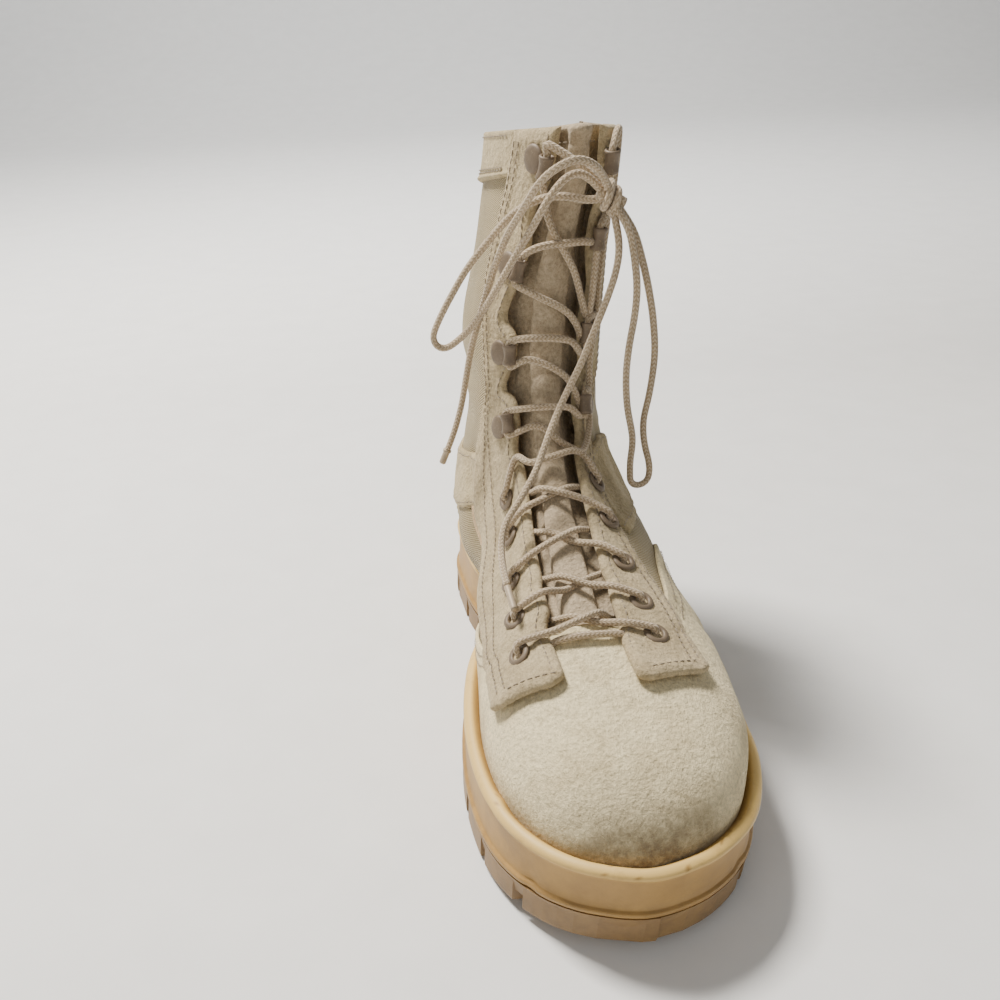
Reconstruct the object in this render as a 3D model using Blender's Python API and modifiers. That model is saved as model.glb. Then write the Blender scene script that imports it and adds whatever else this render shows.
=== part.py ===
"""A hot-weather combat boot for the left foot, standing empty on its sole.

Metres, +Z up. The toe points to -Y and the wearer's left (the outer side) is +X. The origin is on
the ground under the middle of the heel. Forward distances are measured from the back of the heel.
"""
import math

import bmesh
import bpy
import numpy as np
from mathutils import Matrix, Vector
from mathutils.bvhtree import BVHTree

# Overall sizes
LENGTH = 0.306
BALL_WIDTH = 0.120
HEEL_WIDTH = 0.080
HEEL_REST = 0.046
COLLAR_HEIGHT = 0.240
SHAFT_DEPTH = 0.104
SHAFT_WIDTH = 0.064
ANKLE_WIDTH = 0.063
INSTEP_HEIGHT = 0.084
TOE_SPRING = 0.008

# Walls and thicknesses
WALL = 0.0020
PANEL = 0.0016
FACING = 0.0026
TONGUE_WALL = 0.0030
INSOLE_WALL = 0.0040
GAP = 0.0003
CUP_EASE = 0.0013
TONGUE_EASE = 0.0005

# Sole
SOLE_HEIGHT = 0.042
TREAD_HEIGHT = 0.013
LIP_WIDTH = 0.0052
LUG_DEPTH = 0.0060
LUG_GAP = 0.0050
LUG_REACH = 0.026
ARCH_RISE = 0.0085
FOOTBED_TOE = 0.018
FOOTBED_HEEL = 0.027
MARGIN = 0.0030

# Lacing
HALF_GAP = 0.0150
FACING_WIDTH = 0.0270
EYELET_RADIUS = 0.0050
EYELET_BORE = 0.0024
EYELET_BARREL = 0.0032
EYELET_FLANGE = 0.0008
HOOK_RADIUS = 0.0051
HOOK_DISC = 0.0014
HOOK_ARM = 0.0036
HOOK_REACH = 0.0095
SLEEVE_RADIUS = 0.0030
SLEEVE_BORE = 0.0018
SLEEVE_LENGTH = 0.0080
LACE_RADIUS = 0.00165
SEAT = 0.00045

# Plan of the sole: share of the length from the heel, mix of the two widths (0 heel, 1 ball),
# and the inner and outer edges as shares of half that width
OUTLINE = (
    (0.000, 0.0, 0.00, 0.00),
    (0.012, 0.0, 0.44, 0.44),
    (0.040, 0.0, 0.75, 0.75),
    (0.080, 0.0, 0.93, 0.93),
    (0.130, 0.0, 1.00, 1.00),
    (0.220, 0.0, 0.98, 1.00),
    (0.340, 0.3, 0.85, 0.94),
    (0.460, 0.7, 0.84, 0.95),
    (0.550, 1.0, 0.88, 0.98),
    (0.630, 1.0, 0.96, 1.00),
    (0.710, 1.0, 1.00, 0.97),
    (0.790, 1.0, 0.99, 0.92),
    (0.860, 1.0, 0.93, 0.80),
    (0.915, 1.0, 0.81, 0.64),
    (0.957, 1.0, 0.64, 0.42),
    (0.985, 1.0, 0.42, 0.18),
    (1.000, 1.0, 0.12, -0.12),
)

# Height of the lip: share of the length, share of the sole height
LIP = ((0.0, 1.02), (0.25, 0.98), (0.45, 0.93), (0.62, 0.91), (0.78, 0.91), (1.0, 0.93))

# Side of the midsole from the step to the lip: share of the way up, inset as a share of the lip
SIDE = ((0.0, 0.0), (0.10, -0.04), (0.16, 0.16), (0.66, 0.30), (0.74, 0.06), (0.88, 0.04), (1.0, 0.42))

# Sections of the upper from the toe to the heel, one for each row of the plan taken backward. Each
# runs from its top point to the lower edge.
# Columns: top point's forward place as a share of LENGTH, its height as a share of INSTEP_HEIGHT,
# its sideways place and that of the section's foot as shares of BALL_WIDTH, the widest place as a
# share of the way down, and the fullness of the crown and of the lower turn
FOOT = (
    (0.9760, 0.36, -0.060, -0.060, 0.70, 2.0, 2.0),
    (0.9620, 0.50, -0.062, -0.062, 0.62, 2.2, 2.0),
    (0.9400, 0.63, -0.066, -0.066, 0.60, 2.3, 2.0),
    (0.9000, 0.74, -0.072, -0.072, 0.60, 2.4, 2.0),
    (0.8480, 0.82, -0.080, -0.080, 0.62, 2.4, 2.0),
    (0.7980, 0.88, -0.088, -0.088, 0.64, 2.4, 2.0),
    (0.7440, 0.93, -0.094, -0.094, 0.66, 2.3, 2.0),
    (0.6880, 0.99, -0.100, -0.098, 0.68, 2.2, 2.0),
    (0.6230, 1.08, -0.102, -0.090, 0.70, 2.1, 2.0),
    (0.5520, 1.19, -0.104, -0.075, 0.72, 2.0, 2.0),
    (0.4880, 1.32, -0.104, -0.050, 0.72, 1.9, 2.0),
    (0.4400, 1.46, -0.103, -0.028, 0.70, 1.8, 2.0),
    (0.4120, 1.60, -0.102, -0.012, 0.67, 1.8, 2.1),
    (0.3980, 1.70, -0.101, -0.006, 0.63, 1.8, 2.2),
    (0.3890, 1.78, -0.100, -0.003, 0.60, 1.8, 2.3),
    (0.3830, 1.85, -0.099, -0.001, 0.57, 1.8, 2.3),
    (0.3780, 1.92, -0.098, 0.000, 0.55, 1.8, 2.3),
)
# Sections of the shaft from the heel to the collar, each from its top point to the back seam.
# Columns: back and top heights as shares of COLLAR_HEIGHT, back and top places forward of the
# heel's inside as shares of SHAFT_DEPTH, width and the sideways places of the top and of the back
# as shares of SHAFT_WIDTH, the widest place, and the fullness of the crown
SHAFT = (
    (0.190, 0.695, -0.010, 1.030, 1.00, -0.180, 0.000, 0.55, 1.8),
    (0.260, 0.720, -0.015, 1.020, 1.00, -0.176, -0.020, 0.55, 1.8),
    (0.340, 0.748, -0.005, 1.010, 1.00, -0.170, -0.050, 0.56, 1.8),
    (0.430, 0.778, 0.020, 1.003, 1.00, -0.162, -0.090, 0.57, 1.75),
    (0.530, 0.812, 0.040, 0.998, 0.99, -0.146, -0.120, 0.58, 1.7),
    (0.630, 0.848, 0.050, 0.998, 0.95, -0.120, -0.130, 0.60, 1.65),
    (0.730, 0.885, 0.055, 1.002, 0.90, -0.090, -0.110, 0.61, 1.6),
    (0.820, 0.922, 0.055, 1.012, 0.85, -0.060, -0.085, 0.62, 1.6),
    (0.885, 0.955, 0.055, 1.024, 0.80, -0.060, -0.060, 0.62, 1.6),
    (0.945, 1.000, 0.055, 1.038, 0.77, -0.055, -0.045, 0.62, 1.6),
)
# Half opening of the throat along the leather: row of the upper, share of HALF_GAP
THROAT = ((6.0, 0.80), (10.0, 0.84), (13.0, 0.98), (17.0, 1.05), (20.0, 1.00), (23.0, 0.80), (26.0, 0.62))
# Eyelets and hooks from the vamp up: row of the upper on the inner and on the outer side, and the
# distance in from the throat's edge there as a share of FACING_WIDTH
EYELETS = (
    (6.5, 6.5, 0.52, 0.45),
    (7.5, 7.4, 0.48, 0.40),
    (8.5, 8.4, 0.48, 0.34),
    (9.6, 9.4, 0.46, 0.30),
    (10.5, 10.4, 0.48, 0.30),
)
HOOKS = (
    (12.7, 13.3, 0.40, 0.34),
    (17.4, 18.2, 0.34, 0.30),
    (21.3, 22.3, 0.30, 0.30),
    (25.1, 25.2, 0.30, 0.30),
)
# Height of the lace over the upper's own surface where it crosses the facing's edge, and in the
# middle of the gap for the strand above and the strand below, as shares of the lace's radius
LACE_EDGE = 4.0
LACE_ABOVE = 3.3
LACE_BELOW = 0.5
FIRST_RISE = 2.6
# Routes of the bow's cords in metres: side, forward of the heel rest toward the toe, height
KNOT_PLACE = (0.0067, 0.0789, 0.2170)
KNOT_RADIUS = 0.0070
ROUTES = {
    "loop_left": (
        (-0.0003, 0.0779, 0.2218), (-0.0052, 0.0813, 0.2258), (-0.0121, 0.0838, 0.2253), (-0.0181, 0.0843, 0.2189),
        (-0.0230, 0.0813, 0.2090), (-0.0284, 0.0764, 0.1981), (-0.0339, 0.0700, 0.1858), (-0.0403, 0.0621, 0.1719),
        (-0.0487, 0.0571, 0.1631), (-0.0556, 0.0552, 0.1576), (-0.0585, 0.0552, 0.1606), (-0.0541, 0.0562, 0.1719),
        (-0.0442, 0.0586, 0.1912), (-0.0358, 0.0621, 0.2021), (-0.0289, 0.0680, 0.2110), (-0.0220, 0.0744, 0.2164),
        (-0.0151, 0.0774, 0.2184), (-0.0082, 0.0779, 0.2179), (-0.0018, 0.0769, 0.2164),
    ),
    "loop_right": (
        (0.0121, 0.0818, 0.2119), (0.0155, 0.0828, 0.2060), (0.0195, 0.0833, 0.1971), (0.0234, 0.0838, 0.1863),
        (0.0269, 0.0843, 0.1739), (0.0293, 0.0848, 0.1596), (0.0289, 0.0858, 0.1448), (0.0274, 0.0868, 0.1329),
        (0.0279, 0.0878, 0.1221), (0.0323, 0.0887, 0.1102), (0.0308, 0.0892, 0.1043), (0.0269, 0.0897, 0.1053),
        (0.0246, 0.0902, 0.1122), (0.0224, 0.0907, 0.1270), (0.0185, 0.0907, 0.1408), (0.0165, 0.0907, 0.1537),
        (0.0165, 0.0902, 0.1655), (0.0175, 0.0897, 0.1764), (0.0175, 0.0887, 0.1873), (0.0150, 0.0883, 0.1991),
        (0.0121, 0.0873, 0.2080),
    ),
    "lace_end_left": (
        (0.0043, 0.0822, 0.2241), (-0.0013, 0.0863, 0.2282), (-0.0092, 0.0887, 0.2317), (-0.0171, 0.0887, 0.2292),
        (-0.0225, 0.0863, 0.2243), (-0.0269, 0.0799, 0.2149), (-0.0309, 0.0720, 0.2050), (-0.0334, 0.0660, 0.1952),
        (-0.0358, 0.0616, 0.1853), (-0.0383, 0.0562, 0.1724), (-0.0413, 0.0507, 0.1571), (-0.0432, 0.0483, 0.1438),
        (-0.0452, 0.0483, 0.1315), (-0.0487, 0.0488, 0.1186), (-0.0531, 0.0492, 0.1073),
    ),
    "lace_end_right": (
        (0.0077, 0.0832, 0.2110), (0.0094, 0.0863, 0.2026), (0.0086, 0.0883, 0.1932), (0.0056, 0.0892, 0.1828),
        (0.0019, 0.0897, 0.1724), (-0.0027, 0.0902, 0.1596), (-0.0092, 0.0937, 0.1478), (-0.0156, 0.0996, 0.1364),
        (-0.0220, 0.1075, 0.1241), (-0.0294, 0.1144, 0.1147), (-0.0358, 0.1179, 0.1063), (-0.0388, 0.1243, 0.1004),
        (-0.0398, 0.1342, 0.0954), (-0.0398, 0.1450, 0.0920),
    ),
}
AGLET = ((-0.0397, 0.1456, 0.0918), (-0.0389, 0.1574, 0.0885))
AGLET_RADIUS = 0.0014
FACINGS = {-1: "facing_inner", 1: "facing_outer"}
HEEL_ROWS = 5
THROAT_ROW = 7
TAB_ROW = 6
COLUMNS_GAP = 2
COLUMNS_FACING = 2
COLUMNS_SIDE = 7


def mesh_object(name, mesh, home, material=None):
    """Link a mesh as an object of the given collection."""
    thing = bpy.data.objects.new(name, mesh)
    home.objects.link(thing)
    if material:
        mesh.materials.clear()
        mesh.materials.append(material)
    return thing


def finish(name, colour, roughness, metallic=0.0):
    """A plain material for one piece."""
    material = bpy.data.materials.new(name)
    material.use_nodes = True
    shader = material.node_tree.nodes["Principled BSDF"]
    shader.inputs["Base Color"].default_value = (*colour, 1.0)
    shader.inputs["Roughness"].default_value = roughness
    shader.inputs["Metallic"].default_value = metallic
    material.diffuse_color = (*colour, 1.0)
    return material


def place(side, forward, height):
    """A point of the boot from its sideways, forward and upward places."""
    return Vector((side, HEEL_REST - forward, height))


def between(table, along, column):
    """Straight-line reading of a table whose first column rises."""
    return float(np.interp(along, [row[0] for row in table], [row[column] for row in table]))


def spring(forward):
    """Rise of the toe above the ground."""
    start = 0.72
    share = max(0.0, (forward / LENGTH - start) / (1.0 - start))
    return TOE_SPRING * share ** 2


def lip_height(forward):
    """Height of the lip above the ground, with the toe spring."""
    return SOLE_HEIGHT * between(LIP, forward / LENGTH, 1) + 0.6 * spring(forward)


def footbed(forward):
    """Height of the floor inside the midsole."""
    share = min(1.0, max(0.0, (forward / LENGTH - 0.28) / 0.34))
    blend = share * share * (3.0 - 2.0 * share)
    return FOOTBED_HEEL + (FOOTBED_TOE - FOOTBED_HEEL) * blend + 0.8 * spring(forward)


def outline(inset):
    """Closed plan of the sole moved inward: (side, forward) from the heel up the inner side."""
    inner = []
    outer = []
    for along, mix, medial, lateral in OUTLINE:
        half = 0.5 * (HEEL_WIDTH * (1.0 - mix) + BALL_WIDTH * mix)
        inner.append((-half * medial, along * LENGTH))
        outer.append((half * lateral, along * LENGTH))
    loop = np.array(inner + outer[-2:0:-1])
    ahead = np.roll(loop, -1, axis=0) - loop
    behind = loop - np.roll(loop, 1, axis=0)
    ahead /= np.linalg.norm(ahead, axis=1, keepdims=True)
    behind /= np.linalg.norm(behind, axis=1, keepdims=True)
    middle = ahead + behind
    middle /= np.linalg.norm(middle, axis=1, keepdims=True)
    # The loop runs clockwise seen from above in (side, forward), so the inside is to its right
    inward = np.column_stack((middle[:, 1], -middle[:, 0]))
    slant = np.maximum(0.6, (middle * ahead).sum(axis=1))
    return loop + inward * (inset / slant)[:, None]


def loft_rings(name, rings, home, material):
    """Closed solid through rings of equal count, capped by strips across the sole."""
    count = len(rings[0])
    half = count // 2
    points = [point for ring in rings for point in ring]
    faces = []
    for level in range(len(rings) - 1):
        for index in range(count):
            after = (index + 1) % count
            low = level * count
            faces.append((low + index, low + after, low + count + after, low + count + index))
    for start, turn in ((0, False), ((len(rings) - 1) * count, True)):
        for index in range(half):
            right = (count - index) % count
            corners = [start + index, start + index + 1, start + count - index - 1, start + right]
            corners = list(dict.fromkeys(corners))
            faces.append(tuple(corners[::-1] if turn else corners))
    mesh = bpy.data.meshes.new(name)
    mesh.from_pydata([tuple(point) for point in points], [], faces)
    tidy(mesh)
    return mesh_object(name, mesh, home, material)


def tidy(mesh, weld=1e-6):
    """Weld touching corners and face the shell outward."""
    work = bmesh.new()
    work.from_mesh(mesh)
    bmesh.ops.remove_doubles(work, verts=work.verts, dist=weld)
    bmesh.ops.dissolve_degenerate(work, edges=work.edges, dist=weld)
    bmesh.ops.recalc_face_normals(work, faces=work.faces)
    work.to_mesh(mesh)
    work.free()


def half_section(row, side):
    """Fine curve of one half of a section, from its top point to its lower end."""
    size = section_sizes(row, side)
    top, end = size["top"], size["end"]
    steps = np.linspace(0.0, math.pi / 2.0, 60)
    rise = 2.0 / size["crown"]
    fall = 2.0 / size["turn"]
    widest = size["widest"]
    rest = size["width"] - size["end_width"]
    upper = np.column_stack((size["width"] * np.sin(steps) ** rise, widest * (1.0 - np.cos(steps) ** rise)))
    lower = np.column_stack((size["end_width"] + rest * np.cos(steps) ** fall,
                             widest + (1.0 - widest) * np.sin(steps) ** fall))
    spots = []
    for out, down in np.vstack((upper, lower[1:])):
        middle = [top[axis] + (end[axis] - top[axis]) * down for axis in range(3)]
        spots.append((middle[0] + side * out, middle[1], middle[2]))
    return np.array(spots)


def section_sizes(row, side):
    """Lengths of one section: top and end places, widths and shape."""
    loop = outline(LIP_WIDTH + PANEL + 2.0 * GAP + CUP_EASE)
    foot_rows = len(OUTLINE)
    if row >= foot_rows:
        back_up, top_up, back_in, top_in, wide, top_side, back_side, widest, crown = SHAFT[row - foot_rows]
        start = loop[0][1]
        return {
            "top": (top_side * SHAFT_WIDTH, start + top_in * SHAFT_DEPTH, top_up * COLLAR_HEIGHT),
            "end": (back_side * SHAFT_WIDTH, start + back_in * SHAFT_DEPTH, back_up * COLLAR_HEIGHT),
            "width": 0.5 * SHAFT_WIDTH * wide, "end_width": 0.0, "widest": widest, "crown": crown, "turn": 2.2,
        }
    along, up, top_side, foot_side, widest, crown, turn = FOOT[row]
    station = foot_rows - 1 - row
    edge_side, edge_forward = loop[station if side < 0 else (len(loop) - station) % len(loop)]
    middle = foot_side * BALL_WIDTH if 0 < row < foot_rows - 1 else edge_side
    reach = max(0.0, side * (edge_side - middle))
    heel_share = min(1.0, max(0.0, (row - (foot_rows - 1 - HEEL_ROWS)) / 2.0))
    width = max(reach, 0.5 * ANKLE_WIDTH * heel_share)
    top_place = edge_side if row == 0 else top_side * BALL_WIDTH
    return {
        "top": (top_place, along * LENGTH, up * INSTEP_HEIGHT + 0.6 * spring(edge_forward)),
        "end": (middle, edge_forward, footbed(edge_forward) + GAP),
        "width": width, "end_width": max(0.0, reach - MARGIN * min(1.0, reach / (4.0 * MARGIN))),
        "widest": widest, "crown": crown, "turn": turn,
    }


ROWS = len(OUTLINE) + len(SHAFT)
COLUMNS = COLUMNS_GAP + COLUMNS_FACING + COLUMNS_SIDE


def section_spot(row, side, arc):
    """The point at a given length along a half section, for whole or part rows."""
    low = max(0, min(int(math.floor(row)), ROWS - 2))
    share = row - low
    pair = []
    for index in (low, low + 1):
        curve = CURVES[index, side]
        runs = np.concatenate(([0.0], np.cumsum(np.linalg.norm(np.diff(curve, axis=0), axis=1))))
        pair.append(np.array([np.interp(arc, runs, curve[:, axis]) for axis in range(3)]))
    spot = pair[0] * (1.0 - share) + pair[1] * share
    return place(*spot)


def column_arcs(row, side):
    """Lengths along a half section at which its columns lie."""
    curve = CURVES[row, side]
    total = float(np.linalg.norm(np.diff(curve, axis=0), axis=1).sum())
    gap = min(HALF_GAP * between(THROAT, row, 1), 0.17 * total)
    facing = min(FACING_WIDTH, 0.30 * total)
    arcs = [gap * step / COLUMNS_GAP for step in range(COLUMNS_GAP)]
    arcs += [gap + facing * step / COLUMNS_FACING for step in range(COLUMNS_FACING)]
    rest = total - gap - facing
    arcs += [gap + facing + rest * step / COLUMNS_SIDE for step in range(COLUMNS_SIDE + 1)]
    return arcs


def upper_grid():
    """Outer points of the upper, as a dictionary of (row, side, column)."""
    grid = {}
    for row in range(ROWS):
        for side in (-1, 1):
            for column, arc in enumerate(column_arcs(row, side)):
                grid[row, side, column] = section_spot(row, side, arc)
    return grid


def cell_corners(cell):
    """Corner keys of a cell, in an order that faces outward on both sides."""
    row, side, column = cell
    corners = [(row, side, column), (row + 1, side, column),
               (row + 1, side, column + 1), (row, side, column + 1)]
    return corners if side < 0 else corners[::-1]


def patch_faces(cells):
    """Two triangles to a cell, split along its outer diagonal so that every layer folds alike."""
    faces = []
    for cell in cells:
        first, second, third, fourth = cell_corners(cell)
        one, two, three, four = (GRID[key] for key in (first, second, third, fourth))
        normal = (three - one).cross(four - two)
        if (one + three - two - four).dot(normal) >= 0.0:
            faces += [(first, second, third), (first, third, fourth)]
        else:
            faces += [(first, second, fourth), (second, third, fourth)]
    return faces


def patch_mesh(name, cells, lift, edge_gap=0.0):
    """Open surface over some cells of the grid, moved out along the grid's normals."""
    faces = patch_faces(cells)
    keys = list(dict.fromkeys(key for face in faces for key in face))
    number = {key: index for index, key in enumerate(keys)}
    heights = [lift(key) if callable(lift) else lift for key in keys]
    points = [GRID[key] + NORMALS[key] * height for key, height in zip(keys, heights)]
    mesh = bpy.data.meshes.new(name)
    mesh.from_pydata([tuple(point) for point in points], [], [[number[key] for key in face] for face in faces])
    work = bmesh.new()
    work.from_mesh(mesh)
    bmesh.ops.remove_doubles(work, verts=work.verts, dist=1e-6)
    bmesh.ops.dissolve_degenerate(work, edges=work.edges, dist=1e-6)
    for vert, move in draw_in(work, edge_gap):
        vert.co += move
    work.to_mesh(mesh)
    work.free()
    return mesh


def draw_in(work, distance):
    """Moves that take the border of an open sheet back from its neighbours."""
    moves = []
    for vert in work.verts:
        if distance and vert.is_boundary:
            middle = sum((face.calc_center_median() for face in vert.link_faces), Vector())
            toward = middle / len(vert.link_faces) - vert.co
            moves.append((vert, toward.normalized() * distance))
    return moves


def grid_normals():
    """Outward normal at each grid point, shared where the two sides meet."""
    sums = {}
    every = [(row, side, column) for row in range(ROWS - 1) for side in (-1, 1) for column in range(COLUMNS)]
    for cell in every:
        corners = [GRID[key] for key in cell_corners(cell)]
        normal = (corners[2] - corners[0]).cross(corners[3] - corners[1])
        for corner in corners:
            mark = tuple(round(value, 6) for value in corner)
            sums[mark] = sums.get(mark, Vector((0.0, 0.0, 0.0))) + normal
    normals = {}
    for key, point in GRID.items():
        total = sums[tuple(round(value, 6) for value in point)]
        normals[key] = total.normalized()
    return normals


def shell(name, cells, lift, thickness, home, material, outward=True):
    """A sheet of leather or cloth over some cells, as a closed solid."""
    mesh = patch_mesh(name, cells, lift, GAP if outward else 0.0)
    thing = mesh_object(name, mesh, home, material)
    solid = thing.modifiers.new("wall", "SOLIDIFY")
    solid.thickness = thickness
    solid.offset = 1.0 if outward else -1.0
    solid.use_even_offset = False
    mesh.shade_smooth()
    return thing


def cells_of(rows, columns, sides=(-1, 1)):
    """Cells of the grid within some rows and columns."""
    return [(row, side, column) for row in rows for side in sides for column in columns]


def side_prism(name, outline_points, home):
    """Cutter with an outline in side view, right through the boot."""
    mesh = bpy.data.meshes.new(name)
    reach = BALL_WIDTH
    near = [place(-reach, forward, height) for forward, height in outline_points]
    far = [place(reach, forward, height) for forward, height in outline_points]
    count = len(near)
    faces = [tuple(range(count)), tuple(range(2 * count - 1, count - 1, -1))]
    for index in range(count):
        after = (index + 1) % count
        faces.append((index, index + count, after + count, after))
    mesh.from_pydata([tuple(point) for point in near + far], [], faces)
    tidy(mesh)
    thing = mesh_object(name, mesh, home)
    thing.hide_render = True
    thing.display_type = "WIRE"
    return thing


def cut(thing, cutter, operation="DIFFERENCE"):
    """Cut a piece by another with the exact solver."""
    modifier = thing.modifiers.new(cutter.name, "BOOLEAN")
    modifier.operation = operation
    modifier.solver = "EXACT"
    modifier.object = cutter


def build_midsole(home, material):
    """Moulded cup: step, tall side, rounded lip and the floor inside it."""
    rings = []
    for share, inset in SIDE:
        ring = []
        for side, forward in outline(inset * LIP_WIDTH):
            low = TREAD_HEIGHT + spring(forward) + GAP
            ring.append(place(side, forward, low + (lip_height(forward) - low) * share))
        rings.append(ring)
    loop = outline(0.82 * LIP_WIDTH)
    rings.append([place(side, forward, lip_height(forward) - 0.0002) for side, forward in loop])
    loop = outline(LIP_WIDTH)
    rings.append([place(side, forward, lip_height(forward) - 0.0012) for side, forward in loop])
    rings.append([place(side, forward, footbed(forward)) for side, forward in outline(LIP_WIDTH)])
    return loft_rings("midsole", rings, home, material)


def tread_bottom(forward):
    """Underside of the outsole with the raised arch and the heel's front edge."""
    share = forward / LENGTH
    rise = between(((0.0, 0.0), (0.285, 0.0), (0.300, 1.0), (0.42, 0.72), (0.50, 0.0), (1.0, 0.0)), share, 1)
    return spring(forward) + ARCH_RISE * rise


def build_outsole(home, cutters, material):
    """Lugged outsole: heel block, arch, forefoot and the gaps between the lugs."""
    plan = outline(0.0)
    # Extra stations carry the heel's front edge and the ends of the arch
    stations = sorted({round(point[1], 6) for point in plan} |
                      {round(share * LENGTH, 6) for share in (0.285, 0.300, 0.42, 0.50)})
    half = len(OUTLINE)
    rings = []
    for inset, level in ((0.0022, 0.0), (0.0008, 0.16), (0.0, 1.0)):
        loop = outline(inset)
        inner = loop[:half]
        outer = np.vstack((loop[:1], loop[:half - 2:-1]))
        ring_inner = []
        ring_outer = []
        for station in stations:
            along = inner[0][1] + (inner[-1][1] - inner[0][1]) * station / stations[-1]
            ring_inner.append((np.interp(along, inner[:, 1], inner[:, 0]), along))
            ring_outer.append((np.interp(along, outer[:, 1], outer[:, 0]), along))
        ring = []
        for side, forward in ring_inner + ring_outer[-2:0:-1]:
            low = tread_bottom(forward)
            ring.append(place(side, forward, low + (TREAD_HEIGHT + spring(forward) - low) * level))
        rings.append(ring)
    sole = loft_rings("outsole", rings, home, material)
    cut(sole, lug_cutter(cutters))
    return sole


def lug_cutter(cutters):
    """Grooves that part the lugs along both edges of the forefoot and the heel."""
    mesh = bpy.data.meshes.new("lug_gaps")
    work = bmesh.new()
    half = len(OUTLINE)
    loop = outline(0.0)
    sides = {-1: loop[:half], 1: np.vstack((loop[:1], loop[:half - 2:-1]))}
    for share in (0.055, 0.145, 0.235, 0.56, 0.65, 0.74, 0.83, 0.915):
        for side in (-1, 1):
            edge = sides[side]
            forward = share * LENGTH
            out = float(np.interp(forward, edge[:, 1], edge[:, 0]))
            ahead = float(np.interp(forward + 0.004, edge[:, 1], edge[:, 0]))
            behind = float(np.interp(forward - 0.004, edge[:, 1], edge[:, 0]))
            lean = math.atan2(ahead - behind, 0.008)
            centre = place(out, forward, tread_bottom(forward))
            turn = Matrix.Rotation(lean, 4, "Z")
            size = Matrix.Diagonal((2.0 * LUG_REACH, LUG_GAP, 2.0 * LUG_DEPTH, 1.0))
            bmesh.ops.create_cube(work, size=1.0, matrix=Matrix.Translation(centre) @ turn @ size)
    work.to_mesh(mesh)
    work.free()
    thing = mesh_object("lug_gaps", mesh, cutters)
    thing.hide_render = True
    thing.display_type = "WIRE"
    return thing


def build_insole(home, material):
    """Footbed board and sock, lying on the floor of the midsole inside the upper."""
    inset = LIP_WIDTH + PANEL + 3.0 * GAP + CUP_EASE + MARGIN + WALL + 0.0012
    rings = []
    for lift in (GAP, GAP + INSOLE_WALL):
        rings.append([place(side, forward, footbed(forward) + lift) for side, forward in outline(inset)])
    return loft_rings("insole", rings, home, material)


def build_upper(home, material):
    """The whole base of the upper: one hollow wall open at collar, throat and feather edge."""
    cells = []
    for row in range(ROWS - 1):
        first = 0 if row < THROAT_ROW else COLUMNS_GAP
        cells += cells_of((row,), range(first, COLUMNS))
    return shell("upper", cells, 0.0, WALL, home, material, outward=False)


def build_tongue(home, material):
    """Tongue: lies under both facings, from under the vamp to just above the collar."""
    rows = range(TAB_ROW, ROWS - 1)
    cells = cells_of(rows, range(COLUMNS_GAP + 1))
    mesh = patch_mesh("tongue", cells, -(WALL + TONGUE_EASE))
    thing = mesh_object("tongue", mesh, home, material)
    solid = thing.modifiers.new("wall", "SOLIDIFY")
    solid.thickness = TONGUE_WALL
    solid.offset = -1.0
    mesh.shade_smooth()
    return thing


def build_overlays(home, cutters, suede):
    """Suede pieces sewn over the base, each from the upper's own surface."""
    first_side = COLUMNS_GAP + COLUMNS_FACING
    heel = len(OUTLINE) - 1
    wing = COLUMNS - 3
    vamp = cells_of(range(0, THROAT_ROW), range(COLUMNS - 1)) + cells_of(range(THROAT_ROW, 10), range(wing, COLUMNS - 1))
    shell("vamp", vamp, GAP, PANEL, home, suede)
    around = cells_of(range(10, heel), range(first_side + 1, COLUMNS - 1))
    around += cells_of(range(heel, 20), range(first_side + 1, COLUMNS))
    counter = shell("counter", around, GAP, PANEL, home, suede)
    back = HEEL_REST + 0.05
    shape = ((-0.03, 0.0), (-0.03, 0.085), (0.02, 0.082), (0.05, 0.072), (0.078, 0.056), (back + 0.004, 0.0))
    cut(counter, side_prism("counter_shape", shape, cutters), "INTERSECT")
    shell("backstay", cells_of(range(20, 24), (COLUMNS - 1,)), GAP, PANEL, home, suede)
    shell("collar_band", cells_of(range(24, ROWS - 1), range(first_side, COLUMNS)), GAP, PANEL, home, suede)

    def stand(key):
        return GAP + (PANEL + GAP if key[0] <= THROAT_ROW else 0.0)

    for name, side in (("facing_inner", -1), ("facing_outer", 1)):
        cells = cells_of(range(TAB_ROW, ROWS - 1), range(COLUMNS_GAP, first_side), (side,))
        shell(name, cells, stand, FACING, home, suede)


def seat_frame(row, side, inset):
    """Place on the facing at a share of its width: across, along and outward axes, as a matrix."""
    column = COLUMNS_GAP + COLUMNS_FACING * inset
    low = (min(int(row), ROWS - 2), min(int(column), COLUMNS_GAP + COLUMNS_FACING - 1))
    shares = (row - low[0], column - low[1])

    def lifted(step, over):
        key = (low[0] + step, side, low[1] + over)
        return GRID[key] + NORMALS[key] * (GAP + FACING)

    near = lifted(0, 0).lerp(lifted(0, 1), shares[1])
    far = lifted(1, 0).lerp(lifted(1, 1), shares[1])
    inward = lifted(0, 0).lerp(lifted(1, 0), shares[0]) - lifted(0, 1).lerp(lifted(1, 1), shares[0])
    along = (far - near).normalized()
    outward = (inward.cross(along) * -side).normalized()
    across = along.cross(outward)
    turn = Matrix((across, along, outward)).transposed().to_4x4()
    return Matrix.Translation(near.lerp(far, shares[0])) @ turn


def seat_on(tree, frame, footprint):
    """Lift a frame until every point of the footprint clears the surface below by the seat."""
    above = 0.008
    outward = frame.to_3x3() @ Vector((0.0, 0.0, 1.0))
    heights = []
    for x, y in footprint:
        start = frame @ Vector((x, y, above))
        spot, _, _, distance = tree.ray_cast(start, -outward, 2.0 * above)
        if spot is not None:
            heights.append(above - distance)
    return frame @ Matrix.Translation((0.0, 0.0, max(heights) + SEAT))


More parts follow.
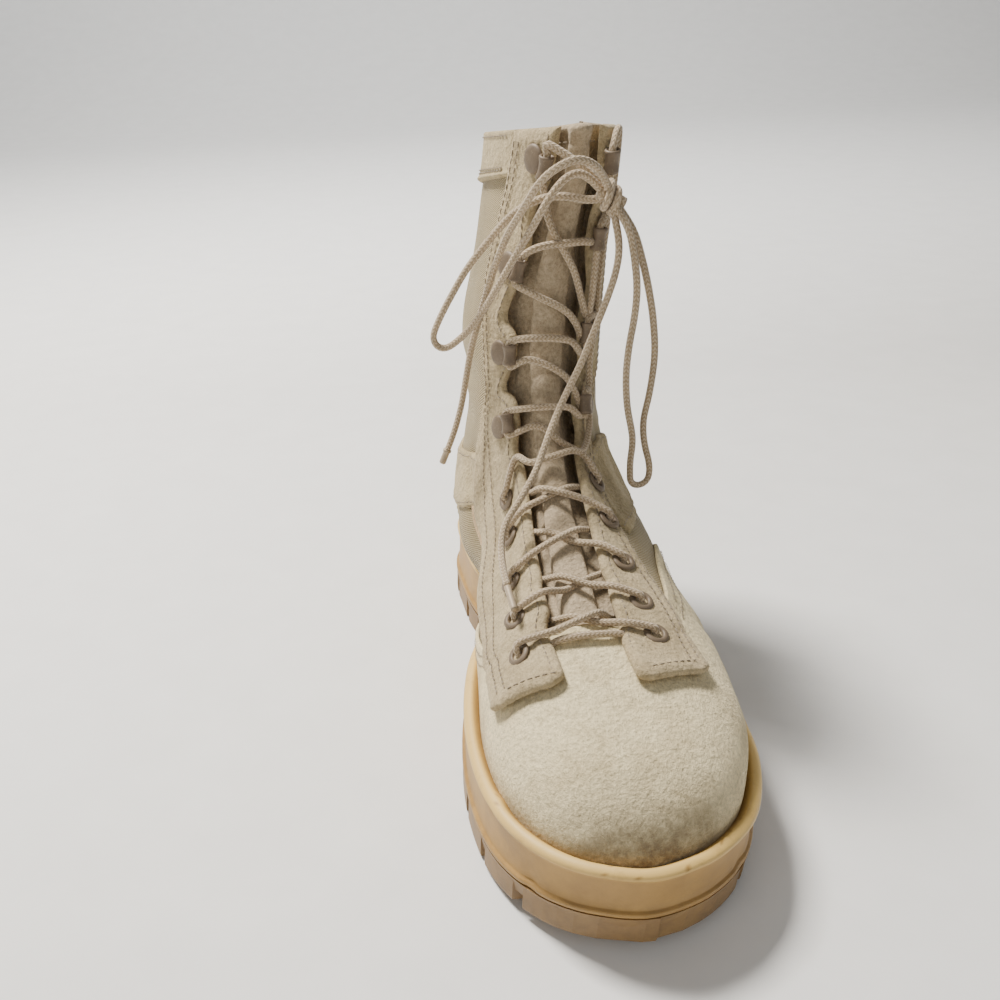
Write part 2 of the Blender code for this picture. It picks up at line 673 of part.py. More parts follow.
def surface_tree(name):
    """Search tree over a finished piece."""
    bpy.context.view_layer.update()
    return BVHTree.FromObject(bpy.data.objects[name], bpy.context.evaluated_depsgraph_get())


def disc_spots(radius, count=12):
    """Points round and in the middle of a round foot."""
    turns = [2.0 * math.pi * step / count for step in range(count)]
    return [(0.0, 0.0)] + [(share * radius * math.cos(turn), share * radius * math.sin(turn))
                           for share in (0.55, 1.0) for turn in turns]


def ring_mesh(name, profile, count=10):
    """Closed ring from a profile of (radius, height) corners turned about Z."""
    points = []
    faces = []
    turns = len(profile)
    for step in range(count):
        angle = 2.0 * math.pi * step / count
        points += [(radius * math.cos(angle), radius * math.sin(angle), height) for radius, height in profile]
    for step in range(count):
        near = step * turns
        far = (step + 1) % count * turns
        for index in range(turns):
            after = (index + 1) % turns
            faces.append((near + index, far + index, far + after, near + after))
    mesh = bpy.data.meshes.new(name)
    mesh.from_pydata(points, [], faces)
    tidy(mesh)
    return mesh


def drum(radius, length, count=10):
    """Closed cylinder on Z from zero to its length, for cutters and rivets."""
    mesh = bpy.data.meshes.new("drum")
    ring = [(math.cos(2.0 * math.pi * step / count), math.sin(2.0 * math.pi * step / count)) for step in range(count)]
    points = [(radius * x, radius * y, level) for level in (0.0, length) for x, y in ring]
    faces = [tuple(range(count))[::-1], tuple(range(count, 2 * count))]
    for step in range(count):
        after = (step + 1) % count
        faces.append((step, after, count + after, count + step))
    mesh.from_pydata(points, [], faces)
    return mesh


def build_eyelets(home, cutters, metal):
    """Rolled eyelets in holes through each facing and what lies under it."""
    depth = FACING + GAP + 0.5 * WALL
    profile = ((EYELET_BORE, EYELET_FLANGE), (EYELET_RADIUS, 0.0), (EYELET_BARREL, 0.0),
               (EYELET_BARREL, -depth), (EYELET_BORE, -depth))
    shape = ring_mesh("eyelet", profile)
    shape.materials.append(metal)
    hole = drum(EYELET_BARREL + 2.0 * GAP, 0.016)
    trees = {side: surface_tree(name) for side, name in FACINGS.items()}
    for number, (inner_row, outer_row, inner_inset, outer_inset) in enumerate(EYELETS, start=1):
        for side, row, inset in ((-1, inner_row, inner_inset), (1, outer_row, outer_inset)):
            word = "inner" if side < 0 else "outer"
            seat = seat_on(trees[side], seat_frame(row, side, inset), disc_spots(EYELET_RADIUS))
            ring = mesh_object(f"eyelet_{word}_{number}", shape, home)
            ring.matrix_world = seat
            cutter = mesh_object(f"eyelet_hole_{word}_{number}", hole, cutters)
            cutter.matrix_world = seat @ Matrix.Translation((0.0, 0.0, -0.011))
            cutter.hide_render = True
            cutter.display_type = "WIRE"
            cut(bpy.data.objects[FACINGS[side]], cutter)
            cut(bpy.data.objects["upper"], cutter)
            if row < THROAT_ROW + 1:
                cut(bpy.data.objects["vamp"], cutter)


def hook_mesh():
    """One speed hook: riveted disc, arm and the sleeve that the lace runs through."""
    pieces = []
    for mesh, matrix in (
        (drum(HOOK_RADIUS, HOOK_DISC), Matrix.Identity(4)),
        (drum(SLEEVE_RADIUS, SLEEVE_LENGTH),
         Matrix.Translation((HOOK_REACH, -0.5 * SLEEVE_LENGTH, SLEEVE_RADIUS)) @ Matrix.Rotation(-math.pi / 2.0, 4, "X")),
        (drum(SLEEVE_BORE + LACE_RADIUS * 0.1, 2.0 * SLEEVE_LENGTH),
         Matrix.Translation((HOOK_REACH, -SLEEVE_LENGTH, SLEEVE_RADIUS)) @ Matrix.Rotation(-math.pi / 2.0, 4, "X")),
    ):
        thing = bpy.data.objects.new("hook_stage", mesh)
        bpy.context.scene.collection.objects.link(thing)
        thing.matrix_world = matrix
        pieces.append(thing)
    arm = bpy.data.meshes.new("hook_arm")
    work = bmesh.new()
    length = HOOK_REACH - SLEEVE_RADIUS + 0.0012
    size = Matrix.Diagonal((length, HOOK_ARM, HOOK_DISC * 0.8, 1.0))
    bmesh.ops.create_cube(work, size=1.0, matrix=Matrix.Translation((0.5 * length, 0.0, HOOK_DISC * 0.5)) @ size)
    work.to_mesh(arm)
    work.free()
    strap = bpy.data.objects.new("hook_strap", arm)
    bpy.context.scene.collection.objects.link(strap)
    disc, sleeve, bore = pieces
    cut(disc, strap, "UNION")
    cut(disc, sleeve, "UNION")
    cut(disc, bore)
    bpy.context.view_layer.update()
    mesh = bpy.data.meshes.new_from_object(disc.evaluated_get(bpy.context.evaluated_depsgraph_get()))
    mesh.name = "hook"
    tidy(mesh)
    for thing in pieces + [strap]:
        bpy.data.objects.remove(thing, do_unlink=True)
    return mesh


def build_hooks(home, metal):
    """Speed hooks riveted along both facings above the eyelets."""
    shape = hook_mesh()
    shape.materials.clear()
    shape.materials.append(metal)
    trees = {side: surface_tree(name) for side, name in FACINGS.items()}
    reach = [step * (HOOK_REACH + SLEEVE_RADIUS) / 6.0 for step in range(7)]
    foot = disc_spots(HOOK_RADIUS) + [(x, share * SLEEVE_LENGTH) for x in reach for share in (-0.5, 0.0, 0.5)]
    for number, (inner_row, outer_row, inner_inset, outer_inset) in enumerate(HOOKS, start=1):
        for side, row, inset in ((-1, inner_row, inner_inset), (1, outer_row, outer_inset)):
            word = "inner" if side < 0 else "outer"
            flip = Matrix.Identity(4) if side < 0 else Matrix.Rotation(math.pi, 4, "Z")
            hook = mesh_object(f"hook_{word}_{number}", shape, home)
            hook.matrix_world = seat_on(trees[side], seat_frame(row, side, inset) @ flip, foot)


def smooth_route(points, step):
    """Smooth curve through route points, with its own points about a step apart."""
    chain = [Vector(point) for point in points]
    full = [2.0 * chain[0] - chain[1]] + chain + [2.0 * chain[-1] - chain[-2]]
    route = [chain[0]]
    for index in range(len(chain) - 1):
        before, start, end, after = full[index:index + 4]
        pieces = max(1, round((end - start).length / step))
        for piece in range(1, pieces + 1):
            share = piece / pieces
            route.append(0.5 * (2.0 * start + (end - before) * share
                                + (2.0 * before - 5.0 * start + 4.0 * end - after) * share ** 2
                                + (3.0 * start - before - 3.0 * end + after) * share ** 3))
    return route


def cord(name, points, radius, home, material):
    """Round cord along its points, as a curve with closed ends."""
    curve = bpy.data.curves.new(name, "CURVE")
    curve.dimensions = "3D"
    curve.bevel_depth = radius
    curve.bevel_resolution = 2
    curve.use_fill_caps = True
    spline = curve.splines.new("POLY")
    spline.points.add(len(points) - 1)
    for spot, point in zip(spline.points, points):
        spot.co = (*point, 1.0)
    curve.materials.append(material)
    thing = bpy.data.objects.new(name, curve)
    home.objects.link(thing)
    return thing


def over_gap(row, side, inset, height):
    """A point over the upper's surface, counted from the throat's edge."""
    low = min(int(row), ROWS - 2)
    share = row - low
    column = COLUMNS_GAP if inset >= 0.0 else 0
    normal = NORMALS[low, side, column].lerp(NORMALS[low + 1, side, column], share)
    gap = HALF_GAP * between(THROAT, row, 1)
    return section_spot(row, side, max(0.0, gap + inset)) + normal.normalized() * height


def lace_turns():
    """Where the lace turns at each eyelet and hook: points from below to above, inner and outer."""
    turns = {-1: [], 1: []}
    for side, word in ((-1, "inner"), (1, "outer")):
        ease = LACE_RADIUS + 2.0 * SEAT + EYELET_FLANGE
        for number in range(1, len(EYELETS) + 1):
            seat = bpy.data.objects[f"eyelet_{word}_{number}"].matrix_world
            spots = ((0.9, -1.5), (-0.4, 0.0), (0.9, 1.5))
            turns[side].append([seat @ Vector((-side * x * LACE_RADIUS, y * LACE_RADIUS, ease)) for x, y in spots])
        beside = HOOK_REACH + SLEEVE_RADIUS + LACE_RADIUS + 2.0 * GAP
        for number in range(1, len(HOOKS) + 1):
            hook = bpy.data.objects[f"hook_{word}_{number}"].matrix_world
            up = 1.0 if side < 0 else -1.0
            turns[side].append([hook @ Vector((beside, up * y * SLEEVE_LENGTH, SLEEVE_RADIUS)) for y in (-0.5, 0.0, 0.5)])
    return turns


def build_lacing(home, lace):
    """The lace from hook to hook: a bar under the tabs and the crossings above it, as one solid."""
    turns = lace_turns()
    rows = {-1: [row[0] for row in EYELETS + HOOKS], 1: [row[1] for row in EYELETS + HOOKS]}

    def strand(start, middle):
        side = start
        points = list(turns[side][0])
        for level in range(len(rows[side]) - 1):
            near, far = rows[side][level], rows[-side][level + 1]
            edge = LACE_EDGE * LACE_RADIUS
            if near < THROAT_ROW + 1:
                edge += PANEL + GAP
            if level < len(EYELETS):
                points.append(over_gap(near + 0.25 * (far - near), side, 0.0, edge))
            rise = 0.0 if level else FIRST_RISE
            points.append(over_gap(0.5 * (near + far), side, -1.0, (middle + rise) * LACE_RADIUS))
            if level + 1 < len(EYELETS):
                points.append(over_gap(near + 0.75 * (far - near), -side, 0.0, LACE_EDGE * LACE_RADIUS))
            side = -side
            points += turns[side][level + 1]
        return points

    above = strand(-1, LACE_ABOVE)
    below = strand(1, LACE_BELOW)
    bar = [over_gap(rows[-1][0] - 0.4, side, inset, (LACE_EDGE + 1.0) * LACE_RADIUS)
           for side, inset in ((-1, 0.0), (-1, -0.006), (1, -0.006), (1, 0.0))]
    route = smooth_route(above[::-1] + bar + below, 5.0 * LACE_RADIUS)
    solid_tube("lace_crossings", route, LACE_RADIUS, home, lace)


def solid_tube(name, points, radius, home, material, count=6):
    """Closed tube along points, its rings carried along without twist."""
    corners = []
    faces = []
    normal = None
    for index, point in enumerate(points):
        ahead = points[min(index + 1, len(points) - 1)]
        behind = points[max(index - 1, 0)]
        run = (ahead - behind).normalized()
        if normal is None:
            normal = run.orthogonal().normalized()
        normal = (normal - run * normal.dot(run)).normalized()
        side = run.cross(normal)
        for step in range(count):
            turn = 2.0 * math.pi * step / count
            corners.append(point + radius * (normal * math.cos(turn) + side * math.sin(turn)))
    for ring in range(len(points) - 1):
        for step in range(count):
            after = (step + 1) % count
            low = ring * count
            faces.append((low + step, low + after, low + count + after, low + count + step))
    last = (len(points) - 1) * count
    faces.append(tuple(range(count))[::-1])
    faces.append(tuple(range(last, last + count)))
    mesh = bpy.data.meshes.new(name)
    mesh.from_pydata([tuple(corner) for corner in corners], [], faces)
    tidy(mesh)
    return mesh_object(name, mesh, home, material)


def build_bow(home, lace, metal):
    """The bow's knot, loops, ends and the tip on the long end."""
    centre = Vector((KNOT_PLACE[0], -KNOT_PLACE[1], KNOT_PLACE[2]))
    for name, points in ROUTES.items():
        chain = [Vector((x, -y, z)) for x, y, z in points]
        chain[0] = centre + (chain[0] - centre).normalized() * (KNOT_RADIUS + 3.0 * GAP)
        cord(name, smooth_route(chain, 6.0 * LACE_RADIUS), LACE_RADIUS, home, lace)
    mesh = bpy.data.meshes.new("knot")
    work = bmesh.new()
    bmesh.ops.create_icosphere(work, subdivisions=2, radius=KNOT_RADIUS)
    work.to_mesh(mesh)
    work.free()
    knot = mesh_object("knot", mesh, home, lace)
    knot.location = centre
    tip = [Vector((x, -y, z)) for x, y, z in AGLET]
    cord("aglet", tip, AGLET_RADIUS, home, metal)


for thing in list(bpy.data.objects):
    bpy.data.objects.remove(thing, do_unlink=True)
parts = bpy.data.collections.new("combat_boot")
cutters = bpy.data.collections.new("cutters")
bpy.context.scene.collection.children.link(parts)
bpy.context.scene.collection.children.link(cutters)

suede = finish("suede", (0.62, 0.53, 0.40), 0.95)
nylon = finish("nylon", (0.52, 0.43, 0.29), 0.85)
cup = finish("cup_rubber", (0.64, 0.47, 0.27), 0.5)
tread = finish("tread_rubber", (0.30, 0.20, 0.11), 0.6)
sock = finish("sock", (0.40, 0.33, 0.24), 0.9)
metal = finish("hardware", (0.42, 0.35, 0.27), 0.5, 0.2)
lace = finish("lace", (0.66, 0.56, 0.42), 0.9)
tip = finish("lace_tip", (0.45, 0.37, 0.27), 0.4)

CURVES = {(row, side): half_section(row, side) for row in range(ROWS) for side in (-1, 1)}
GRID = upper_grid()
NORMALS = grid_normals()

build_outsole(parts, cutters, tread)
build_midsole(parts, cup)
build_insole(parts, sock)
build_upper(parts, nylon)
build_tongue(parts, suede)
build_overlays(parts, cutters, suede)
build_eyelets(parts, cutters, metal)
build_hooks(parts, metal)
build_lacing(parts, lace)
build_bow(parts, lace, tip)
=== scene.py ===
# %% [markdown]
# # A hot-weather combat boot
# The real boot is ribbed nylon and rough suede sewn on a last, moulded to a rubber cup sole and
# laced through eyelets and speed hooks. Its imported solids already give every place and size.
# It could be drawn afresh here, but then the dressed boot and the solids would drift apart, so this
# script loads them and dresses each in its own material. Metres, +Z up, toe to -Y, outer side to +X.

# %% Load the boot
import math

import bmesh
import bpy
import numpy as np
from mathutils import Matrix, Vector
from mathutils.bvhtree import BVHTree


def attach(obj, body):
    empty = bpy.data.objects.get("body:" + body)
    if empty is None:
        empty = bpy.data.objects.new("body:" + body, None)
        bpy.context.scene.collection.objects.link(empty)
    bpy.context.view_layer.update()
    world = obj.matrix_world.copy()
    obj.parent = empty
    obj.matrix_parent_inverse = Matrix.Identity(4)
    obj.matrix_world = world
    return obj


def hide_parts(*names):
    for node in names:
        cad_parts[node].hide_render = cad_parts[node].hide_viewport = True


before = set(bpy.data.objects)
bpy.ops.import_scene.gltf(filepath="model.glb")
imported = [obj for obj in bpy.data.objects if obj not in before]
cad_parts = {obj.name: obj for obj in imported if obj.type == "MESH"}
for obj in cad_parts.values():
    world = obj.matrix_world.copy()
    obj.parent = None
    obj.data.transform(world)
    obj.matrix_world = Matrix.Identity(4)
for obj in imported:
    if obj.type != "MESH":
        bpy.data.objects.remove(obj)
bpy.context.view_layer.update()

# %% [markdown]
# ## Camera
# The photographer stood in front of the toe, a little to the inner side, and looked down on the
# laces. A camera could be aimed by eye; here its place and turn were solved from marks that are easy
# to find on the boot, so that outlines can be laid over each other. A lens shift frames the boot.

# %% Camera
CAMERA_PLACE = (-0.1014, -0.4638, 0.2861)
FOCAL_LENGTH = 33.44
SENSOR = 36.0
SHIFT = (0.1001, 0.2095)
ROLL_COSINE = 0.99885
ROLL_SINE = 0.04798
right = Vector((0.9987, -0.0510, 0.0))
up = Vector((0.0317, 0.620, 0.784))
forward = Vector((0.0400, 0.7828, -0.621))
across = (ROLL_COSINE * right - ROLL_SINE * up).normalized()
back = (-forward).normalized()
rise = back.cross(across).normalized()
across = rise.cross(back)
turn = Matrix((across, rise, back)).transposed().to_4x4()
lens = bpy.data.cameras.new("studio_camera")
lens.lens = FOCAL_LENGTH
lens.sensor_width = SENSOR
lens.shift_x, lens.shift_y = SHIFT
lens.clip_start = 0.01
camera = bpy.data.objects.new("studio_camera", lens)
bpy.context.scene.collection.objects.link(camera)
camera.matrix_world = Matrix.Translation(CAMERA_PLACE) @ turn
bpy.context.scene.camera = camera
print("camera at", tuple(round(value, 3) for value in camera.location))

# %% [markdown]
# ## Sizes of the boot
# A shoemaker starts from a last: the plan of the sole and a row of sections up the foot and the leg.
# They could be traced from pictures, but a few named sizes are easier to change. The tables below
# repeat those of the solids, so that leather laid over them fits.

# %% Sizes
LENGTH = 0.306
BALL_WIDTH = 0.120
HEEL_WIDTH = 0.080
HEEL_REST = 0.046
COLLAR_HEIGHT = 0.240
SHAFT_DEPTH = 0.104
SHAFT_WIDTH = 0.064
ANKLE_WIDTH = 0.063
INSTEP_HEIGHT = 0.084
TOE_SPRING = 0.008
SOLE_HEIGHT = 0.042
TREAD_HEIGHT = 0.013
LIP_WIDTH = 0.0052
ARCH_RISE = 0.0085
FOOTBED_TOE = 0.018
FOOTBED_HEEL = 0.027
MARGIN = 0.0030
HALF_GAP = 0.0150
FACING_WIDTH = 0.0270
WALL = 0.0020
PANEL = 0.0016
FACING = 0.0026
GAP = 0.0003
LACE_RADIUS = 0.00142
UPPER_INSET = LIP_WIDTH + PANEL + 2.0 * GAP + 0.0013
# Plan of the sole: share of the length, share of ball against heel width, and how much of half that
# width the inner and the outer side have
OUTLINE = (
    (0.000, 0.0, 0.00, 0.00), (0.012, 0.0, 0.44, 0.44), (0.040, 0.0, 0.75, 0.75), (0.080, 0.0, 0.93, 0.93),
    (0.130, 0.0, 1.00, 1.00), (0.220, 0.0, 0.98, 1.00), (0.340, 0.3, 0.85, 0.94), (0.460, 0.7, 0.84, 0.95),
    (0.550, 1.0, 0.88, 0.98), (0.630, 1.0, 0.96, 1.00), (0.710, 1.0, 1.00, 0.97), (0.790, 1.0, 0.99, 0.92),
    (0.860, 1.0, 0.93, 0.80), (0.915, 1.0, 0.81, 0.64), (0.957, 1.0, 0.64, 0.42), (0.985, 1.0, 0.42, 0.18),
    (1.000, 1.0, 0.12, -0.12),
)
# Height of the lip: share of the length, share of the sole's height
LIP = ((0.0, 1.02), (0.25, 0.98), (0.45, 0.93), (0.62, 0.91), (0.78, 0.91), (1.0, 0.93))
# Sections of the foot from the toe: forward and up at the middle line, sideways at top and foot,
# how far down the widest place lies, roundness above and below it
FOOT = (
    (0.9760, 0.36, -0.060, -0.060, 0.70, 2.0, 2.0), (0.9620, 0.50, -0.062, -0.062, 0.62, 2.2, 2.0),
    (0.9400, 0.63, -0.066, -0.066, 0.60, 2.3, 2.0), (0.9000, 0.74, -0.072, -0.072, 0.60, 2.4, 2.0),
    (0.8480, 0.82, -0.080, -0.080, 0.62, 2.4, 2.0), (0.7980, 0.88, -0.088, -0.088, 0.64, 2.4, 2.0),
    (0.7440, 0.93, -0.094, -0.094, 0.66, 2.3, 2.0), (0.6880, 0.99, -0.100, -0.098, 0.68, 2.2, 2.0),
    (0.6230, 1.08, -0.102, -0.090, 0.70, 2.1, 2.0), (0.5520, 1.19, -0.104, -0.075, 0.72, 2.0, 2.0),
    (0.4880, 1.32, -0.104, -0.050, 0.72, 1.9, 2.0), (0.4400, 1.46, -0.103, -0.028, 0.70, 1.8, 2.0),
    (0.4120, 1.60, -0.102, -0.012, 0.67, 1.8, 2.1), (0.3980, 1.70, -0.101, -0.006, 0.63, 1.8, 2.2),
    (0.3890, 1.78, -0.100, -0.003, 0.60, 1.8, 2.3), (0.3830, 1.85, -0.099, -0.001, 0.57, 1.8, 2.3),
    (0.3780, 1.92, -0.098, 0.000, 0.55, 1.8, 2.3),
)
# Sections of the shaft: height at back and front, forward at back and front, width, sideways at
# front and back, how far round the widest place lies, roundness in front of it
SHAFT = (
    (0.190, 0.695, -0.010, 1.030, 1.00, -0.180, 0.000, 0.55, 1.8),
    (0.260, 0.720, -0.015, 1.020, 1.00, -0.176, -0.020, 0.55, 1.8),
    (0.340, 0.748, -0.005, 1.010, 1.00, -0.170, -0.050, 0.56, 1.8),
    (0.430, 0.778, 0.020, 1.003, 1.00, -0.162, -0.090, 0.57, 1.75),
    (0.530, 0.812, 0.040, 0.998, 0.99, -0.146, -0.120, 0.58, 1.7),
    (0.630, 0.848, 0.050, 0.998, 0.95, -0.120, -0.130, 0.60, 1.65),
    (0.730, 0.885, 0.055, 1.002, 0.90, -0.090, -0.110, 0.61, 1.6),
    (0.820, 0.922, 0.055, 1.012, 0.85, -0.060, -0.085, 0.62, 1.6),
    (0.885, 0.955, 0.055, 1.024, 0.80, -0.060, -0.060, 0.62, 1.6),
    (0.945, 1.000, 0.055, 1.038, 0.77, -0.055, -0.045, 0.62, 1.6),
)
# Half width of the throat: row, share of HALF_GAP
THROAT = ((6.0, 0.80), (10.0, 0.84), (13.0, 0.98), (17.0, 1.05), (20.0, 1.00), (23.0, 0.80), (26.0, 0.62))
FOOT_ROWS = len(OUTLINE)
ROWS = FOOT_ROWS + len(SHAFT)
TOP_ROW = ROWS - 1.0


def between(table, along):
    """Straight-line reading of a two-column table whose first column rises."""
    return np.interp(along, [row[0] for row in table], [row[1] for row in table])


def smooth_step(share):
    """A share from 0 to 1 that starts and ends gently."""
    return share * share * (3.0 - 2.0 * share)


def spline(before, start, end, after, share):
    """Point of a smooth curve between start and end, led by its two neighbours."""
    return 0.5 * (2.0 * start + (end - before) * share
                  + (2.0 * before - 5.0 * start + 4.0 * end - after) * share ** 2
                  + (3.0 * start - before - 3.0 * end + after) * share ** 3)


def spring(ahead):
    """Rise of the toe above the ground."""
    return TOE_SPRING * np.maximum(0.0, (ahead / LENGTH - 0.72) / 0.28) ** 2


def lip_height(ahead):
    """Height of the sole's lip."""
    return SOLE_HEIGHT * between(LIP, ahead / LENGTH) + 0.6 * spring(ahead)


def footbed(ahead):
    """Height of the floor inside the sole."""
    share = np.clip((ahead / LENGTH - 0.28) / 0.34, 0.0, 1.0)
    return FOOTBED_HEEL + (FOOTBED_TOE - FOOTBED_HEEL) * smooth_step(share) + 0.8 * spring(ahead)


print("rows of the upper", ROWS)

# %% [markdown]
# ## The routes of the bow
# A round braided lace is tied in a bow, with two loops and two ends that hang. It could be let fall
# with a cloth simulation, which never lands twice as photographed. Each cord instead follows a
# smooth curve through points that were read off, and the far end of each loop is kept round.

# %% Cord routes
ROUTES = {
    "loop_left": (
        (-0.0003, 0.0779, 0.2218), (-0.0052, 0.0813, 0.2258), (-0.0121, 0.0838, 0.2253), (-0.0181, 0.0843, 0.2189),
        (-0.0230, 0.0813, 0.2090), (-0.0284, 0.0764, 0.1981), (-0.0339, 0.0700, 0.1858), (-0.0403, 0.0621, 0.1719),
        (-0.0457, 0.0585, 0.1645), (-0.0519, 0.0560, 0.1589), (-0.0545, 0.0558, 0.1582), (-0.0571, 0.0557, 0.1592),
        (-0.0587, 0.0555, 0.1615), (-0.0587, 0.0553, 0.1642), (-0.0555, 0.0560, 0.1717), (-0.0503, 0.0572, 0.1813),
        (-0.0442, 0.0586, 0.1912), (-0.0358, 0.0621, 0.2021), (-0.0289, 0.0680, 0.2110), (-0.0220, 0.0744, 0.2164),
        (-0.0151, 0.0774, 0.2184), (-0.0082, 0.0779, 0.2179), (-0.0018, 0.0769, 0.2164),
    ),
    "loop_right": (
        (0.0121, 0.0818, 0.2119), (0.0155, 0.0828, 0.2060), (0.0195, 0.0833, 0.1971), (0.0234, 0.0838, 0.1863),
        (0.0269, 0.0843, 0.1739), (0.0293, 0.0848, 0.1596), (0.0289, 0.0858, 0.1448), (0.0274, 0.0868, 0.1329),
        (0.0289, 0.0876, 0.1230), (0.0317, 0.0883, 0.1150), (0.0325, 0.0888, 0.1098), (0.0320, 0.0890, 0.1067),
        (0.0296, 0.0892, 0.1047), (0.0264, 0.0895, 0.1047), (0.0240, 0.0897, 0.1067), (0.0235, 0.0899, 0.1098),
        (0.0226, 0.0904, 0.1170), (0.0224, 0.0907, 0.1270), (0.0185, 0.0907, 0.1408), (0.0165, 0.0907, 0.1537),
        (0.0165, 0.0902, 0.1655), (0.0175, 0.0897, 0.1764), (0.0175, 0.0887, 0.1873), (0.0150, 0.0883, 0.1991),
        (0.0121, 0.0873, 0.2080),
    ),
    "lace_end_left": (
        (0.0043, 0.0822, 0.2241), (-0.0013, 0.0863, 0.2282), (-0.0092, 0.0887, 0.2317), (-0.0171, 0.0887, 0.2292),
        (-0.0225, 0.0863, 0.2243), (-0.0269, 0.0799, 0.2149), (-0.0309, 0.0720, 0.2050), (-0.0334, 0.0660, 0.1952),
        (-0.0358, 0.0616, 0.1853), (-0.0383, 0.0562, 0.1724), (-0.0413, 0.0507, 0.1571), (-0.0432, 0.0483, 0.1438),
        (-0.0452, 0.0483, 0.1315), (-0.0487, 0.0488, 0.1186), (-0.0531, 0.0492, 0.1073),
    ),
    "lace_end_right": (
        (0.0077, 0.0832, 0.2110), (0.0094, 0.0863, 0.2026), (0.0086, 0.0883, 0.1932), (0.0056, 0.0892, 0.1828),
        (0.0019, 0.0897, 0.1724), (-0.0027, 0.0902, 0.1596), (-0.0092, 0.0937, 0.1478), (-0.0156, 0.0996, 0.1364),
        (-0.0220, 0.1075, 0.1241), (-0.0294, 0.1144, 0.1147), (-0.0358, 0.1179, 0.1063), (-0.0388, 0.1243, 0.1004),
        (-0.0398, 0.1342, 0.0954), (-0.0398, 0.1450, 0.0920),
    ),
}
KNOT_PLACE = Vector((0.0067, -0.0789, 0.2170))
KNOT_RADIUS = 0.0070
TIP = ((-0.0397, 0.1456, 0.0918), (-0.0389, 0.1574, 0.0885))
TIP_RADIUS = 0.0014
# Seat of each eyelet and hook: place, direction across the facing, direction outward
SEATS = {
    "eyelet_inner_1": ((-0.03943, -0.17216, 0.07742), (0.671, -0.078, 0.737), (-0.741, -0.107, 0.663)),
    "eyelet_inner_2": ((-0.03762, -0.15256, 0.08119), (0.809, -0.142, 0.570), (-0.586, -0.129, 0.800)),
    "eyelet_inner_3": ((-0.03544, -0.12988, 0.08472), (0.657, -0.224, 0.720), (-0.745, -0.050, 0.665)),
    "eyelet_inner_4": ((-0.03180, -0.10426, 0.09240), (0.466, -0.361, 0.807), (-0.876, -0.062, 0.478)),
    "eyelet_inner_5": ((-0.03041, -0.08625, 0.10104), (0.395, -0.524, 0.754), (-0.919, -0.215, 0.332)),
    "eyelet_outer_1": ((0.01350, -0.17384, 0.08329), (0.986, 0.070, -0.150), (0.163, -0.247, 0.955)),
    "eyelet_outer_2": ((0.01191, -0.15722, 0.08811), (0.979, 0.063, -0.193), (0.203, -0.301, 0.932)),
    "eyelet_outer_3": ((0.01005, -0.13580, 0.09412), (0.953, 0.099, -0.287), (0.303, -0.279, 0.911)),
    "eyelet_outer_4": ((0.00889, -0.11369, 0.10206), (0.872, 0.193, -0.449), (0.487, -0.267, 0.832)),
    "eyelet_outer_5": ((0.00798, -0.09343, 0.10971), (0.728, 0.341, -0.594), (0.683, -0.291, 0.670)),
    "hook_inner_1": ((-0.03047, -0.06658, 0.12626), (0.457, -0.768, 0.448), (-0.887, -0.434, 0.160)),
    "hook_inner_2": ((-0.03014, -0.05937, 0.15646), (0.522, -0.837, 0.160), (-0.853, -0.516, 0.084)),
    "hook_inner_3": ((-0.02718, -0.05629, 0.19051), (0.496, -0.865, -0.078), (-0.837, -0.500, 0.223)),
    "hook_inner_4": ((-0.01873, -0.05833, 0.22825), (0.498, -0.847, -0.185), (-0.862, -0.508, 0.007)),
    "hook_outer_1": ((0.00766, -0.06669, 0.13328), (-0.580, -0.738, 0.346), (0.815, -0.534, 0.225)),
    "hook_outer_2": ((0.00842, -0.06024, 0.16370), (-0.641, -0.749, 0.166), (0.765, -0.640, 0.072)),
    "hook_outer_3": ((0.01024, -0.05622, 0.19995), (-0.589, -0.805, 0.066), (0.804, -0.592, -0.048)),
    "hook_outer_4": ((0.01105, -0.05854, 0.22918), (-0.516, -0.841, -0.160), (0.856, -0.515, -0.056)),
}
HOOK_REACH = 0.0095
SLEEVE_RADIUS = 0.0030
CORD_STEP = 0.0012
CORD_START = 0.45 * KNOT_RADIUS
SMOOTHING_PASSES = 6


def seat_matrix(name):
    """Matrix of an eyelet's or hook's seat."""
    spot, side, out = (Vector(values) for values in SEATS[name])
    out.normalize()
    side = (side - out * side.dot(out)).normalized()
    along = out.cross(side)
    return Matrix.Translation(spot) @ Matrix((side, along, out)).transposed().to_4x4()


def smooth_route(points, step):
    """Smooth curve through route points, its own points about a step apart."""
    chain = [Vector(point) for point in points]
    full = [2.0 * chain[0] - chain[1]] + chain + [2.0 * chain[-1] - chain[-2]]
    route = [chain[0]]
    for index in range(len(chain) - 1):
        before, start, end, after = full[index:index + 4]
        pieces = max(1, round((end - start).length / step))
        for piece in range(1, pieces + 1):
            route.append(spline(before, start, end, after, piece / pieces))
    return route


def route_length(route):
    """Length along a route."""
    return sum((after - before).length for before, after in zip(route, route[1:]))


BOW = {}
for name, points in ROUTES.items():
    chain = [Vector((x, -y, z)) for x, y, z in points]
    chain[0] = KNOT_PLACE + (chain[0] - KNOT_PLACE).normalized() * CORD_START
    if name.startswith("loop"):
        chain.append(KNOT_PLACE + (chain[-1] - KNOT_PLACE).normalized() * CORD_START)
    BOW[name] = smooth_route(chain, CORD_STEP)
    for _ in range(SMOOTHING_PASSES):
        inner_points = [middle + 0.25 * (before + after - 2.0 * middle)
                        for before, middle, after in zip(BOW[name], BOW[name][1:], BOW[name][2:])]
        BOW[name] = [BOW[name][0]] + inner_points + [BOW[name][-1]]
    print(name, round(route_length(BOW[name]), 4))
